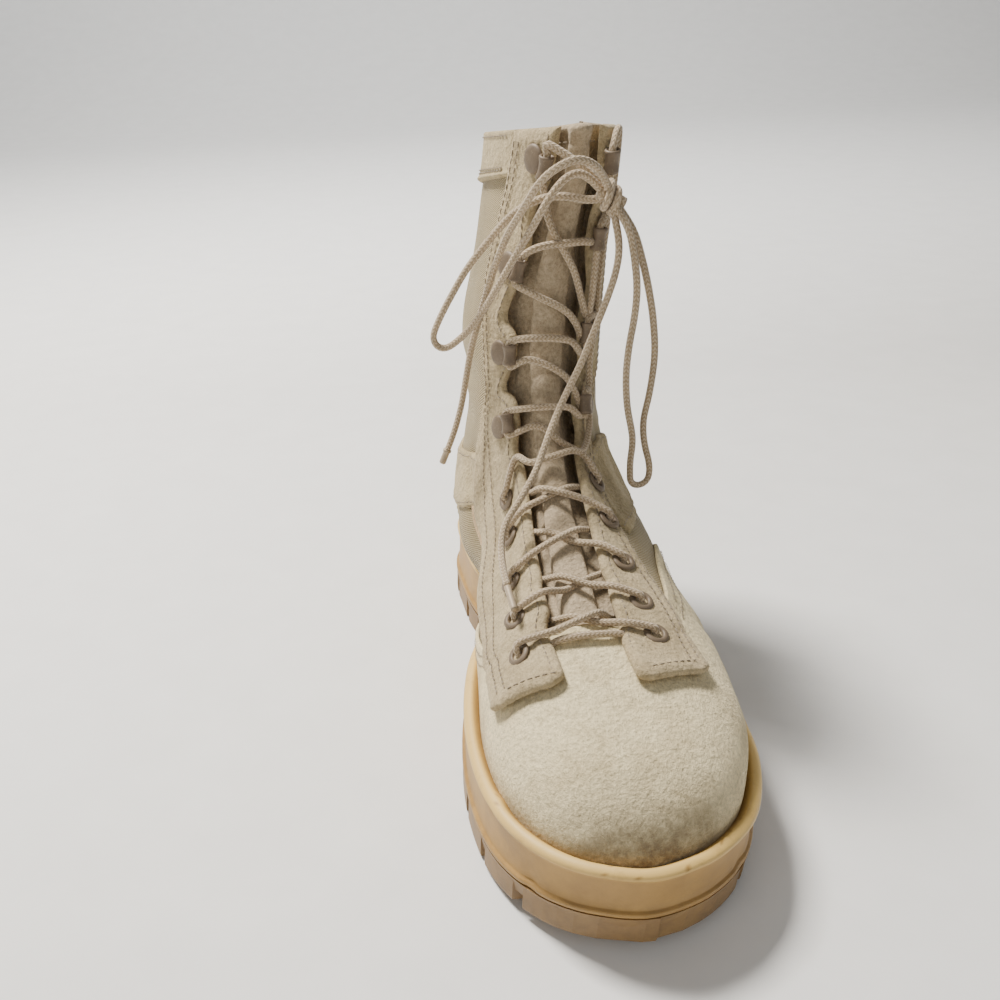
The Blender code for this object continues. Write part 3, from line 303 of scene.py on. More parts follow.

# %% [markdown]
# ## Materials
# Every finish is a small tree of nodes fed by the boot's own metres, so that nothing is stretched
# and nothing depends on a picture. The helpers below add one node or one step each. Every piece
# takes its finish from one shelf, FINISH, so that two pieces cut from one hide match, though the
# suede is kept in copies painted lighter as a highlight or darker as shade.

# %% Finish helpers
def new_finish(name):
    """Empty material with its shader and helpers for adding nodes."""
    material = bpy.data.materials.new(name)
    material.use_nodes = True
    tree = material.node_tree
    shader = tree.nodes["Principled BSDF"]
    return material, tree, shader


def add(tree, kind, **values):
    """A node with its plain settings."""
    node = tree.nodes.new(kind)
    for key, value in values.items():
        setattr(node, key, value)
    return node


def noise(tree, space, scale, detail, rough, stretch=None):
    """Noise in object metres, with a stretch for directional marks."""
    node = add(tree, "ShaderNodeTexNoise")
    node.inputs["Scale"].default_value = scale
    node.inputs["Detail"].default_value = detail
    node.inputs["Roughness"].default_value = rough
    source = space
    if stretch:
        mapping = add(tree, "ShaderNodeMapping")
        mapping.inputs["Scale"].default_value = stretch
        tree.links.new(source, mapping.inputs["Vector"])
        source = mapping.outputs["Vector"]
    tree.links.new(source, node.inputs["Vector"])
    return node.outputs["Fac"]


def steps(tree, factor, stops):
    """Colour or grey ramp over a factor."""
    node = add(tree, "ShaderNodeValToRGB")
    ramp = node.color_ramp
    while len(ramp.elements) < len(stops):
        ramp.elements.new(0.5)
    for element, (position, colour) in zip(ramp.elements, stops):
        element.position = position
        element.color = (*colour, 1.0) if isinstance(colour, tuple) else (colour, colour, colour, 1.0)
    tree.links.new(factor, node.inputs["Fac"])
    return node.outputs["Color"]


def blend(tree, factor, first, second, kind="MIX"):
    """Mix of two colours, each a link or a plain colour."""
    node = add(tree, "ShaderNodeMix", data_type="RGBA", blend_type=kind)
    for value, socket in ((factor, node.inputs[0]), (first, node.inputs[6]), (second, node.inputs[7])):
        if isinstance(value, tuple):
            socket.default_value = (*value, 1.0)
        elif isinstance(value, float):
            socket.default_value = value
        else:
            tree.links.new(value, socket)
    return node.outputs[2]


def sums(tree, kind, first, second=0.0, third=0.0):
    """One arithmetic step on links or numbers."""
    node = add(tree, "ShaderNodeMath", operation=kind)
    for index, value in enumerate((first, second, third)):
        if isinstance(value, float):
            node.inputs[index].default_value = value
        else:
            tree.links.new(value, node.inputs[index])
    return node.outputs[0]


def relief(tree, shader, height, distance, strength, under=None):
    """Bump on a shader, over an earlier bump if there is one."""
    node = add(tree, "ShaderNodeBump")
    node.inputs["Strength"].default_value = strength
    node.inputs["Distance"].default_value = distance
    tree.links.new(height, node.inputs["Height"])
    if under:
        tree.links.new(under, node.inputs["Normal"])
    tree.links.new(node.outputs["Normal"], shader.inputs["Normal"])
    return node.outputs["Normal"]


def rising(tree, value, start, end):
    """0 where a value is at its start, 1 at its end."""
    node = add(tree, "ShaderNodeMapRange")
    node.inputs["From Min"].default_value = start
    node.inputs["From Max"].default_value = end
    tree.links.new(value, node.inputs["Value"])
    return node.outputs["Result"]


def place_of(tree):
    """Object position in metres: the vector and its three parts."""
    coordinate = add(tree, "ShaderNodeTexCoord")
    parts = add(tree, "ShaderNodeSeparateXYZ")
    tree.links.new(coordinate.outputs["Object"], parts.inputs["Vector"])
    return coordinate.outputs["Object"], parts


FINISH = {}
print("finish helpers ready, finishes so far", len(FINISH))

# %% [markdown]
# ### Suede
# The boot's suede is cattle hide worn flesh side out: a pale nap, darker crumbs, greasy patches and
# scuffs at the toe. It could be painted as a picture; layered noise is used since it has no seams and
# stays sharp close up. Sheen gives the nap its soft edge.

# %% Suede
# Heights between which dirt grows toward the sole, and places between which the toe is scuffed
DIRT_TOP, DIRT_FULL = 0.050, 0.034
SCUFF_START, SCUFF_FULL = -0.224, -0.250


def suede_finish(name, pale, mid, dark, pits, worn_toe=False):
    """Rough-out suede: drifting nap, fine fibres, pits, and dirt toward the sole."""
    material, tree, shader = new_finish(name)
    space, parts = place_of(tree)
    drift = noise(tree, space, 38.0, 5.0, 0.6)
    nap = noise(tree, space, 260.0, 4.0, 0.65)
    crumb = noise(tree, space, 620.0, 3.0, 0.6)
    fibre = noise(tree, space, 1900.0, 3.0, 0.7, (1.0, 0.45, 1.0))
    colour = steps(tree, drift, ((0.32, mid), (0.50, pale), (0.66, mid)))
    brushed = steps(tree, nap, ((0.36, 0.0), (0.60, 1.0)))
    colour = blend(tree, sums(tree, "MULTIPLY", brushed, 0.40), colour, pale)
    crumbs = steps(tree, crumb, ((0.34, 0.74), (0.56, 1.0), (0.68, 1.08)))
    colour = blend(tree, 0.9, colour, crumbs, "MULTIPLY")
    shade = steps(tree, fibre, ((0.30, 0.70), (0.60, 1.06)))
    colour = blend(tree, 0.75, colour, shade, "MULTIPLY")
    speck = noise(tree, space, 820.0, 2.0, 0.5)
    mask = steps(tree, speck, ((0.27, 1.0), (0.34, 0.0)))
    colour = blend(tree, sums(tree, "MULTIPLY", mask, pits), colour, dark)
    low = rising(tree, parts.outputs["Z"], DIRT_TOP, DIRT_FULL)
    grime = sums(tree, "MULTIPLY", low, sums(tree, "MULTIPLY_ADD", drift, 1.2, -0.1))
    colour = blend(tree, sums(tree, "MULTIPLY", grime, 0.55), colour, dark)
    if worn_toe:
        front = rising(tree, parts.outputs["Y"], SCUFF_START, SCUFF_FULL)
        patchy = steps(tree, noise(tree, space, 95.0, 6.0, 0.72), ((0.36, 0.25), (0.56, 1.0)))
        scuff = sums(tree, "MULTIPLY", sums(tree, "POWER", front, 1.6), patchy)
        colour = blend(tree, sums(tree, "MULTIPLY", scuff, 0.80), colour, dark)
    tree.links.new(colour, shader.inputs["Base Color"])
    shader.inputs["Roughness"].default_value = 0.93
    shader.inputs["Sheen Weight"].default_value = 0.18
    shader.inputs["Sheen Roughness"].default_value = 0.5
    shader.inputs["Sheen Tint"].default_value = (0.96, 0.88, 0.74, 1.0)
    shader.inputs["Specular IOR Level"].default_value = 0.22
    soft = relief(tree, shader, nap, 0.0014, 0.6)
    soft = relief(tree, shader, crumb, 0.0009, 0.8, soft)
    relief(tree, shader, fibre, 0.00035, 0.8, soft)
    return material


# Each suede: name, pale, mid and dark colour, share of pits. The one hide is painted in copies: the
# vamp's is lighter, a painted highlight where light falls on the top of the foot, and the panels',
# facings' and tongue's copies are darker, as painted shade.
SUEDES = {
    "vamp": ("suede_vamp_painted_lit", (0.86, 0.74, 0.46), (0.66, 0.55, 0.33), (0.15, 0.105, 0.06), 0.15),
    "suede": ("suede_panels_painted_shade", (0.52, 0.425, 0.252), (0.38, 0.300, 0.170), (0.13, 0.09, 0.055), 0.22),
    "facing": ("suede_facing_painted_shade", (0.53, 0.430, 0.262), (0.38, 0.298, 0.172), (0.09, 0.065, 0.04), 0.45),
    "edge": ("raw_edge", (0.62, 0.44, 0.25), (0.50, 0.34, 0.19), (0.20, 0.13, 0.07), 0.1),
    "tongue": ("suede_tongue_painted_shade", (0.50, 0.40, 0.27), (0.38, 0.295, 0.195), (0.13, 0.09, 0.06), 0.10),
    "sock": ("sock_cloth", (0.40, 0.33, 0.24), (0.30, 0.24, 0.17), (0.12, 0.09, 0.06), 0.3),
}
for kind, values in SUEDES.items():
    FINISH[kind] = suede_finish(*values, worn_toe=kind == "vamp")
print("suedes", list(FINISH))

# %% [markdown]
# ### Nylon
# The side panels are heavy nylon with slanting ribs. Real threads could be modelled, at millions of
# faces, so two crossing waves raise the ribs and yarns as relief.

# %% Nylon
YARN_PITCH = 0.0008


def nylon_finish(name, pale, dark, slant, pitch):
    """Woven nylon with raised slanting ribs and crossing yarns."""
    material, tree, shader = new_finish(name)
    space, parts = place_of(tree)
    size = math.sqrt(sum(value * value for value in slant))
    turned = add(tree, "ShaderNodeVectorMath", operation="DOT_PRODUCT")
    tree.links.new(space, turned.inputs[0])
    turned.inputs[1].default_value = [value / size for value in slant]
    run = sums(tree, "MULTIPLY", turned.outputs["Value"], 2.0 * math.pi / pitch)
    rib = sums(tree, "MULTIPLY_ADD", sums(tree, "SINE", run), 0.5, 0.5)
    cross = sums(tree, "MULTIPLY", parts.outputs["Z"], 2.0 * math.pi / YARN_PITCH)
    yarn = sums(tree, "MULTIPLY_ADD", sums(tree, "SINE", cross), 0.5, 0.5)
    grain = noise(tree, space, 1500.0, 3.0, 0.6)
    colour = blend(tree, rib, dark, pale)
    colour = blend(tree, 0.35, colour, steps(tree, grain, ((0.3, 0.55), (0.65, 1.1))), "MULTIPLY")
    stain = steps(tree, noise(tree, space, 45.0, 5.0, 0.6), ((0.35, 0.78), (0.6, 1.0)))
    colour = blend(tree, 0.8, colour, stain, "MULTIPLY")
    tree.links.new(colour, shader.inputs["Base Color"])
    shader.inputs["Roughness"].default_value = 0.72
    shader.inputs["Sheen Weight"].default_value = 0.15
    shader.inputs["Specular IOR Level"].default_value = 0.35
    weave = sums(tree, "MULTIPLY_ADD", yarn, 0.25, sums(tree, "MULTIPLY", rib, 1.0))
    first = relief(tree, shader, weave, 0.0004, 0.85)
    relief(tree, shader, grain, 0.0002, 0.6, first)
    return material


FINISH["nylon"] = nylon_finish("ribbed_nylon", (0.48, 0.388, 0.215), (0.26, 0.200, 0.100),
                               (0.25, 0.75, 1.0), 0.0009)
FINISH["lining"] = nylon_finish("knit_lining", (0.46, 0.38, 0.28), (0.30, 0.24, 0.17),
                                (1.0, 0.0, 0.4), 0.0012)
print("woven finishes", list(FINISH)[-2:])

# %% [markdown]
# ### Moulded rubber
# The cup and the tread are satin rubber, dirtier toward the ground, with the lip's top painted
# pale as a highlight. A mesh attribute tells the material where the lip is, so that the painted
# highlight follows the shape.

# %% Rubber
# Heights between which the ground's dirt grows, and the painted highlight colour of the lip's top
SPLASH_TOP, SPLASH_FULL = 0.040, 0.006
LIP_HIGHLIGHT = (0.72, 0.49, 0.16)


def rubber_finish(name, pale, dark, grime, lip=False):
    """Satin moulded rubber, darker and scuffed toward the ground; a lip gets a painted highlight on top."""
    material, tree, shader = new_finish(name)
    space, parts = place_of(tree)
    cloud = noise(tree, space, 60.0, 6.0, 0.62)
    fine = noise(tree, space, 900.0, 3.0, 0.6)
    colour = blend(tree, steps(tree, cloud, ((0.35, 0.0), (0.65, 1.0))), dark, pale)
    streak = steps(tree, noise(tree, space, 130.0, 6.0, 0.7), ((0.44, 0.0), (0.68, 1.0)))
    low = rising(tree, parts.outputs["Z"], SPLASH_TOP, SPLASH_FULL)
    dirt = sums(tree, "MULTIPLY", low, sums(tree, "MULTIPLY_ADD", streak, 0.5, 0.25))
    colour = blend(tree, dirt, colour, grime)
    if lip:
        # Painted highlight: the lip's top is made paler where light falls on the rolled bead, in patches
        crown = add(tree, "ShaderNodeAttribute", attribute_name="lip_highlight")
        highlight_breakup = steps(tree, noise(tree, space, 150.0, 5.0, 0.7), ((0.55, 0.0), (0.7, 1.0)))
        highlight_strength = sums(tree, "MULTIPLY_ADD", highlight_breakup, -0.35, 1.0)
        colour = blend(tree, sums(tree, "MULTIPLY", crown.outputs["Fac"], highlight_strength), colour, LIP_HIGHLIGHT)
    tree.links.new(colour, shader.inputs["Base Color"])
    rough = add(tree, "ShaderNodeMapRange")
    rough.inputs["To Min"].default_value = 0.38
    rough.inputs["To Max"].default_value = 0.62
    tree.links.new(cloud, rough.inputs["Value"])
    tree.links.new(rough.outputs["Result"], shader.inputs["Roughness"])
    first = relief(tree, shader, cloud, 0.0006, 0.35)
    relief(tree, shader, fine, 0.00012, 0.5, first)
    return material


# The cup's finish carries the painted highlight on its lip
FINISH["cup"] = rubber_finish("cup_rubber", (0.46, 0.27, 0.075), (0.36, 0.205, 0.055),
                              (0.17, 0.095, 0.03), True)
FINISH["tread"] = rubber_finish("tread_rubber", (0.33, 0.20, 0.072), (0.25, 0.145, 0.052),
                                (0.12, 0.072, 0.032))
print("rubbers", list(FINISH)[-2:])

# %% [markdown]
# ### Painted metal
# Eyelets and hooks are metal, painted dull brown, with bare metal where lace and hands rub. Small
# chips come from a fine noise with a hard edge.

# %% Painted metal
def painted_finish(name, paint, bare):
    """Taupe paint on brass-like metal, rubbed at its edges."""
    material, tree, shader = new_finish(name)
    space = place_of(tree)[0]
    cloud = noise(tree, space, 320.0, 5.0, 0.65)
    chips = steps(tree, noise(tree, space, 1300.0, 4.0, 0.7), ((0.60, 0.0), (0.66, 1.0)))
    shaded = tuple(value * 0.78 for value in paint)
    colour = blend(tree, steps(tree, cloud, ((0.35, 0.0), (0.65, 1.0))), paint, shaded)
    colour = blend(tree, sums(tree, "MULTIPLY", chips, 0.5), colour, bare)
    tree.links.new(colour, shader.inputs["Base Color"])
    shader.inputs["Metallic"].default_value = 0.15
    shader.inputs["Roughness"].default_value = 0.55
    relief(tree, shader, cloud, 0.0002, 0.5)
    return material


FINISH["metal"] = painted_finish("painted_metal", (0.19, 0.142, 0.095), (0.36, 0.28, 0.18))
FINISH["tip"] = painted_finish("lace_tip", (0.44, 0.35, 0.24), (0.60, 0.50, 0.36))
print("painted finishes", list(FINISH)[-2:])

# %% [markdown]
# ### Braid
# A boot lace is a tube of yarns that cross both ways. Weaving it would be slow and heavy, so the
# chevrons are painted and raised along the map that each tube carries.

# %% Braid
PLAIT_PITCH = 0.0017


def braid_finish(name, pale, dark):
    """Round braided cord: yarns crossing both ways round it, from the tube's own map."""
    material, tree, shader = new_finish(name)
    space = place_of(tree)[0]
    wrap = add(tree, "ShaderNodeUVMap", uv_map="run")
    parts = add(tree, "ShaderNodeSeparateXYZ")
    tree.links.new(wrap.outputs["UV"], parts.inputs["Vector"])
    along = sums(tree, "MULTIPLY", parts.outputs["X"], 2.0 * math.pi / PLAIT_PITCH)
    fold = sums(tree, "PINGPONG", sums(tree, "MULTIPLY", parts.outputs["Y"], 5.0), 0.5)
    plait = sums(tree, "SINE", sums(tree, "MULTIPLY_ADD", fold, 9.0, along))
    groove = sums(tree, "SMOOTH_MIN", sums(tree, "MULTIPLY", fold, 6.0), 1.0, 0.3)
    plait = sums(tree, "MULTIPLY", sums(tree, "MULTIPLY_ADD", plait, 0.5, 0.5), groove)
    fibre = noise(tree, space, 2400.0, 3.0, 0.7)
    colour = blend(tree, plait, dark, pale)
    colour = blend(tree, 0.6, colour, steps(tree, fibre, ((0.3, 0.62), (0.62, 1.05))), "MULTIPLY")
    stain = steps(tree, noise(tree, space, 70.0, 4.0, 0.6), ((0.34, 0.80), (0.6, 1.0)))
    colour = blend(tree, 0.8, colour, stain, "MULTIPLY")
    tree.links.new(colour, shader.inputs["Base Color"])
    shader.inputs["Roughness"].default_value = 0.85
    shader.inputs["Sheen Weight"].default_value = 0.3
    shader.inputs["Specular IOR Level"].default_value = 0.25
    first = relief(tree, shader, plait, 0.00032, 0.7)
    relief(tree, shader, fibre, 0.0002, 0.7, first)
    return material


FINISH["lace"] = braid_finish("braided_lace", (0.70, 0.57, 0.40), (0.40, 0.30, 0.19))
FINISH["thread"] = braid_finish("sewing_thread", (0.60, 0.48, 0.33), (0.36, 0.28, 0.19))
print("braids", list(FINISH)[-2:], "finishes in all", len(FINISH))

# %% [markdown]
# ## The last's surface
# Leather takes its form from the last. Sections of the foot and shaft run from the middle line round
# to the sole or the back seam, and one grid joins them. A sculpted mesh could do, but a grid lets
# each piece be cut by rows and places: 0 is the middle line, 1 the throat's edge, 2 the facing's
# outer edge, 3 the feather edge or back seam; minus is the inner side.

# %% Surface
def outline(inset):
    """Closed plan of the sole moved inward, from the heel up the inner side."""
    inner = []
    outer = []
    for along, mix, medial, lateral in OUTLINE:
        half = 0.5 * (HEEL_WIDTH * (1.0 - mix) + BALL_WIDTH * mix)
        inner.append((-half * medial, along * LENGTH))
        outer.append((half * lateral, along * LENGTH))
    return pushed(np.array(inner + outer[-2:0:-1]), inset)


def pushed(loop, inset):
    """A clockwise loop moved inward."""
    ahead = np.roll(loop, -1, axis=0) - loop
    behind = loop - np.roll(loop, 1, axis=0)
    ahead /= np.linalg.norm(ahead, axis=1, keepdims=True)
    behind /= np.linalg.norm(behind, axis=1, keepdims=True)
    middle = ahead + behind
    middle /= np.linalg.norm(middle, axis=1, keepdims=True)
    inward = np.column_stack((middle[:, 1], -middle[:, 0]))
    slant = np.maximum(0.6, (middle * ahead).sum(axis=1))
    return loop + inward * (inset / slant)[:, None]


def half_section(row, side):
    """Curve of one half of a section, from its top point to its lower end."""
    loop = outline(UPPER_INSET)
    if row >= FOOT_ROWS:
        back_up, top_up, back_in, top_in, wide, top_side, back_side, widest, crown = SHAFT[row - FOOT_ROWS]
        start = loop[0][1]
        top = (top_side * SHAFT_WIDTH, start + top_in * SHAFT_DEPTH, top_up * COLLAR_HEIGHT)
        end = (back_side * SHAFT_WIDTH, start + back_in * SHAFT_DEPTH, back_up * COLLAR_HEIGHT)
        width, end_width, fullness = 0.5 * SHAFT_WIDTH * wide, 0.0, 2.2
    else:
        along, height, top_side, foot_side, widest, crown, fullness = FOOT[row]
        station = FOOT_ROWS - 1 - row
        edge_side, edge_ahead = loop[station if side < 0 else (len(loop) - station) % len(loop)]
        middle = foot_side * BALL_WIDTH if 0 < row < FOOT_ROWS - 1 else edge_side
        reach = max(0.0, side * (edge_side - middle))
        heel_share = min(1.0, max(0.0, (row - (FOOT_ROWS - 6)) / 2.0))
        width = max(reach, 0.5 * ANKLE_WIDTH * heel_share)
        end_width = max(0.0, reach - MARGIN * min(1.0, reach / (4.0 * MARGIN)))
        top = (edge_side if row == 0 else top_side * BALL_WIDTH, along * LENGTH,
               height * INSTEP_HEIGHT + 0.6 * float(spring(edge_ahead)))
        end = (middle, edge_ahead, float(footbed(edge_ahead)) + GAP)
    turns = np.linspace(0.0, math.pi / 2.0, 240)
    rest = width - end_width
    upper = np.column_stack((width * np.sin(turns) ** (2.0 / crown),
                             widest * (1.0 - np.cos(turns) ** (2.0 / crown))))
    lower = np.column_stack((end_width + rest * np.cos(turns) ** (2.0 / fullness),
                             widest + (1.0 - widest) * np.sin(turns) ** (2.0 / fullness)))
    out, down = np.vstack((upper, lower[1:])).T
    top, end = np.array(top), np.array(end)
    curve = top + (end - top) * down[:, None]
    curve[:, 0] += side * out
    return np.column_stack((curve[:, 0], HEEL_REST - curve[:, 1], curve[:, 2]))


# Fine rows to each row of the last, and the places across at which the grid has its columns
SPLIT = 10
ACROSS = np.concatenate((np.linspace(0.0, 1.0, 21)[:-1], np.linspace(1.0, 2.0, 29)[:-1],
                         np.linspace(2.0, 3.0, 71)))
RING = np.concatenate((-ACROSS[:0:-1], ACROSS))


def row_points(row, side):
    """Points of one row at the places across."""
    curve = half_section(row, side)
    runs = np.concatenate(([0.0], np.cumsum(np.linalg.norm(np.diff(curve, axis=0), axis=1))))
    total = runs[-1]
    gap = min(HALF_GAP * float(between(THROAT, row)), 0.17 * total)
    facing = min(FACING_WIDTH, 0.30 * total)
    arcs = np.interp(ACROSS, (0.0, 1.0, 2.0, 3.0), (0.0, gap, gap + facing, total))
    return np.column_stack([np.interp(arcs, runs, curve[:, axis]) for axis in range(3)])


rows = {side: np.array([row_points(row, side) for row in range(ROWS)]) for side in (-1, 1)}
coarse = np.concatenate((rows[-1][:, :0:-1], rows[1]), axis=1)
# Beyond the toe the rows go on as the other side's; beyond the collar they run straight on
coarse = np.concatenate((coarse[1:2, ::-1], coarse, 2.0 * coarse[-1:] - coarse[-2:-1]))
fine_rows = np.linspace(0.0, TOP_ROW, (ROWS - 1) * SPLIT + 1)
SKIN = np.zeros((len(fine_rows), len(RING), 3))
for number, row in enumerate(fine_rows):
    low = min(int(row), ROWS - 2)
    SKIN[number] = spline(*coarse[low:low + 4], row - low)


def skin_normals(grid):
    """Outward normals of the whole surface."""
    closed = np.abs(fine_rows) >= FOOT_ROWS - 1
    left = np.roll(grid, 1, axis=1)
    right = np.roll(grid, -1, axis=1)
    left[:, 0] = np.where(closed[:, None], grid[:, -2], grid[:, 0])
    right[:, -1] = np.where(closed[:, None], grid[:, 1], grid[:, -1])
    across_grid = right - left
    along_grid = np.gradient(grid, axis=0)
    mirrored = grid[1, ::-1]
    along_grid[0] = grid[1] - mirrored
    normal = np.cross(across_grid, along_grid)
    size = np.linalg.norm(normal, axis=2, keepdims=True)
    return normal / np.maximum(size, 1e-12)


print("rows and columns of the surface", SKIN.shape[:2])

# %% [markdown]
# ### Creases of wear
# A worn boot folds where the foot bends: across the vamp and around the ankle. A cloth brush would
# give folds at random, so the main ones are listed one by one. Each is a line with a width and a depth,
# and leather and nylon sink along it together.

# %% Creases
# (start, end, half width, depth) in metres: side, forward, height. Minus depth is a ridge.
CREASES = (
    ((-0.052, 0.200, 0.050), (-0.036, 0.214, 0.076), 0.0035, 0.0011),
    ((-0.053, 0.186, 0.055), (-0.040, 0.196, 0.080), 0.0038, 0.0012),
    ((0.047, 0.206, 0.050), (0.024, 0.214, 0.076), 0.0035, 0.0010),
    ((0.050, 0.190, 0.054), (0.026, 0.196, 0.083), 0.0038, 0.0011),
    ((-0.040, 0.128, 0.062), (-0.034, 0.108, 0.092), 0.0045, 0.0013),
    ((-0.038, 0.112, 0.070), (-0.038, 0.080, 0.100), 0.0050, 0.0016),
    ((0.036, 0.140, 0.066), (0.026, 0.112, 0.100), 0.0045, 0.0013),
    ((0.034, 0.118, 0.076), (0.020, 0.092, 0.116), 0.0050, 0.0016),
    ((-0.044, 0.090, 0.120), (-0.036, 0.040, 0.112), 0.0060, 0.0020),
    ((-0.044, 0.092, 0.138), (-0.036, 0.036, 0.136), 0.0055, 0.0015),
    ((0.028, 0.094, 0.126), (0.024, 0.036, 0.112), 0.0060, 0.0020),
    ((0.028, 0.096, 0.148), (0.024, 0.040, 0.140), 0.0055, 0.0014),
    ((-0.044, 0.086, 0.166), (-0.036, 0.048, 0.172), 0.0060, 0.0010),
    ((0.026, 0.088, 0.176), (0.022, 0.044, 0.168), 0.0060, 0.0010),
    ((-0.046, 0.100, 0.106), (-0.040, 0.060, 0.128), 0.0050, -0.0009),
    ((0.030, 0.104, 0.112), (0.026, 0.060, 0.128), 0.0050, -0.0009),
    ((-0.010, 0.026, 0.090), (0.016, 0.026, 0.086), 0.0060, 0.0012),
    ((-0.024, 0.246, 0.066), (0.006, 0.252, 0.066), 0.0080, 0.0007),
)


def crease_depth(points):
    """How far the surface sinks at each point."""
    depth = np.zeros(points.shape[:-1])
    for start, end, width, deep in CREASES:
        start = np.array((start[0], HEEL_REST - start[1], start[2]))
        end = np.array((end[0], HEEL_REST - end[1], end[2]))
        run = end - start
        share = np.clip(((points - start) @ run) / (run @ run), 0.0, 1.0)
        near = np.linalg.norm(points - (start + share[..., None] * run), axis=-1)
        depth += deep * np.exp(-(near / width) ** 2)
    return depth


# Fullness and hollows that a foot leaves in the leather: centre, reach, and push in metres
FULLNESS = (
    ((0.032, 0.098, 0.084), 0.034, (0.0100, 0.0, 0.0)),
    ((0.029, 0.132, 0.080), 0.030, (0.0080, 0.0, 0.0010)),
    ((-0.034, 0.092, 0.062), 0.030, (-0.0115, 0.0, 0.0)),
    ((-0.042, 0.148, 0.058), 0.030, (-0.0075, 0.0, 0.0)),
    ((-0.030, 0.113, 0.028), 0.024, (0.0070, 0.0, 0.0)),
    ((-0.036, 0.045, 0.074), 0.026, (-0.0040, 0.0, 0.0)),
    ((-0.038, 0.044, 0.120), 0.026, (0.0020, 0.0, 0.0)),
    ((-0.035, 0.048, 0.186), 0.026, (0.0024, 0.0, 0.0)),
    ((0.018, 0.080, 0.226), 0.022, (-0.0070, 0.0, 0.0)),
    ((0.020, 0.075, 0.160), 0.034, (-0.0036, 0.0, 0.0)),
)
# The push fades out toward the throat, so that the lacing stays where it is
ramp = np.clip((np.abs(RING) - 1.65) / 0.55, 0.0, 1.0)[None, :, None]
start_skin = SKIN.copy()
for centre, reach, push in FULLNESS:
    centre = np.array((centre[0], HEEL_REST - centre[1], centre[2]))
    near = np.linalg.norm(start_skin - centre, axis=-1, keepdims=True)
    SKIN = SKIN + smooth_step(ramp) * np.exp(-(near / reach) ** 2) * np.array(push)
SKIN_NORMAL = skin_normals(SKIN)
SKIN = SKIN - SKIN_NORMAL * crease_depth(SKIN)[..., None]
SKIN_NORMAL = skin_normals(SKIN)


def read_grid(grid, row, place):
    """Reads the surface grid at rows and places across."""
    row = np.clip(np.asarray(row, float), 0.0, TOP_ROW) * SPLIT
    spot = np.interp(place, RING, np.arange(len(RING)))
    low_row = np.minimum(row.astype(int), grid.shape[0] - 2)
    low_spot = np.minimum(spot.astype(int), grid.shape[1] - 2)
    a = (row - low_row)[..., None]
    b = (spot - low_spot)[..., None]
    return ((grid[low_row, low_spot] * (1 - a) + grid[low_row + 1, low_spot] * a) * (1 - b)
            + (grid[low_row, low_spot + 1] * (1 - a) + grid[low_row + 1, low_spot + 1] * a) * b)


def skin(row, place, lift=0.0):
    """Points of the surface, raised by a lift, and their normals."""
    normal = read_grid(SKIN_NORMAL, row, place)
    normal /= np.maximum(np.linalg.norm(normal, axis=-1, keepdims=True), 1e-9)
    return read_grid(SKIN, row, place) + normal * np.asarray(lift)[..., None], normal


print("creases", len(CREASES), "pushes", len(FULLNESS))

# %% [markdown]
# ## Sheets of leather
# Each cut piece is a skin of even thickness with a rounded edge. It could be made with a solidify
# modifier, which leaves square edges; here a grid is laid on the surface, rolled over at its border
# and closed underneath.

# %% Sheets
# Radius of a cut edge as a share of the thickness, and the soft swelling inside a sewn edge
EDGE_ROLL = 0.9
SWELL_PLACE = 0.0040
SWELL_REACH = 0.0022


def piece_from(name, points, faces, finish, smooth=True):
    """Mesh object from points and faces, welded and facing outward."""
    mesh = bpy.data.meshes.new(name)
    mesh.from_pydata([tuple(map(float, point)) for point in points], [], faces)
    work = bmesh.new()
    work.from_mesh(mesh)
    bmesh.ops.remove_doubles(work, verts=work.verts, dist=1e-6)
    bmesh.ops.dissolve_degenerate(work, edges=work.edges, dist=1e-6)
    bmesh.ops.recalc_face_normals(work, faces=work.faces)
    work.to_mesh(mesh)
    work.free()
    mesh.materials.append(FINISH[finish])
    thing = bpy.data.objects.new(name, mesh)
    bpy.context.scene.collection.objects.link(thing)
    if smooth:
        mesh.shade_smooth()
    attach(thing, "root")
    return thing


def grid_faces(high, wide, start=0, flip=False, wrap=False):
    """Faces of a grid of points."""
    faces = []
    for row in range(high - 1):
        for column in range(wide if wrap else wide - 1):
            after = (column + 1) % wide
            corner = start + row * wide
            face = (corner + column, corner + after, corner + wide + after, corner + wide + column)
            faces.append(face[::-1] if flip else face)
    return faces


def cap_faces(start, count, flip=False):
    """Faces that close a ring of the sole's plan, from its inner to its outer side."""
    faces = []
    for index in range(count // 2):
        corners = (index, index + 1, count - index - 1, (count - index) % count)
        face = tuple(start + corner for corner in dict.fromkeys(corners))
        faces.append(face[::-1] if flip else face)
    return faces


def edge_stops(count, roll):
    """Steps from 0 to 1 that crowd near both ends, for a rounded edge."""
    inner = np.linspace(roll * 3.0, 1.0 - roll * 3.0, count)
    near = roll * np.array((0.0, 0.15, 0.45, 0.9, 1.6))
    return np.concatenate((near, inner, 1.0 - near[::-1]))


def runs_of(points, axis):
    """Distance of each grid point from the nearer end of its line, in metres."""
    stretches = np.linalg.norm(np.diff(points, axis=axis), axis=-1)
    pad = [(0, 0), (0, 0)]
    pad[axis] = (1, 0)
    from_start = np.pad(np.cumsum(stretches, axis=axis), pad)
    total = np.take(from_start, [-1], axis=axis)
    return np.minimum(from_start, total - from_start)


def rounded(gap, reach):
    """Share of a sheet's thickness at a distance from its edge: a quarter round, then flat."""
    share = np.clip(gap / reach, 0.0, 1.0)
    return np.sqrt(np.maximum(0.0, 1.0 - (1.0 - share) ** 2))


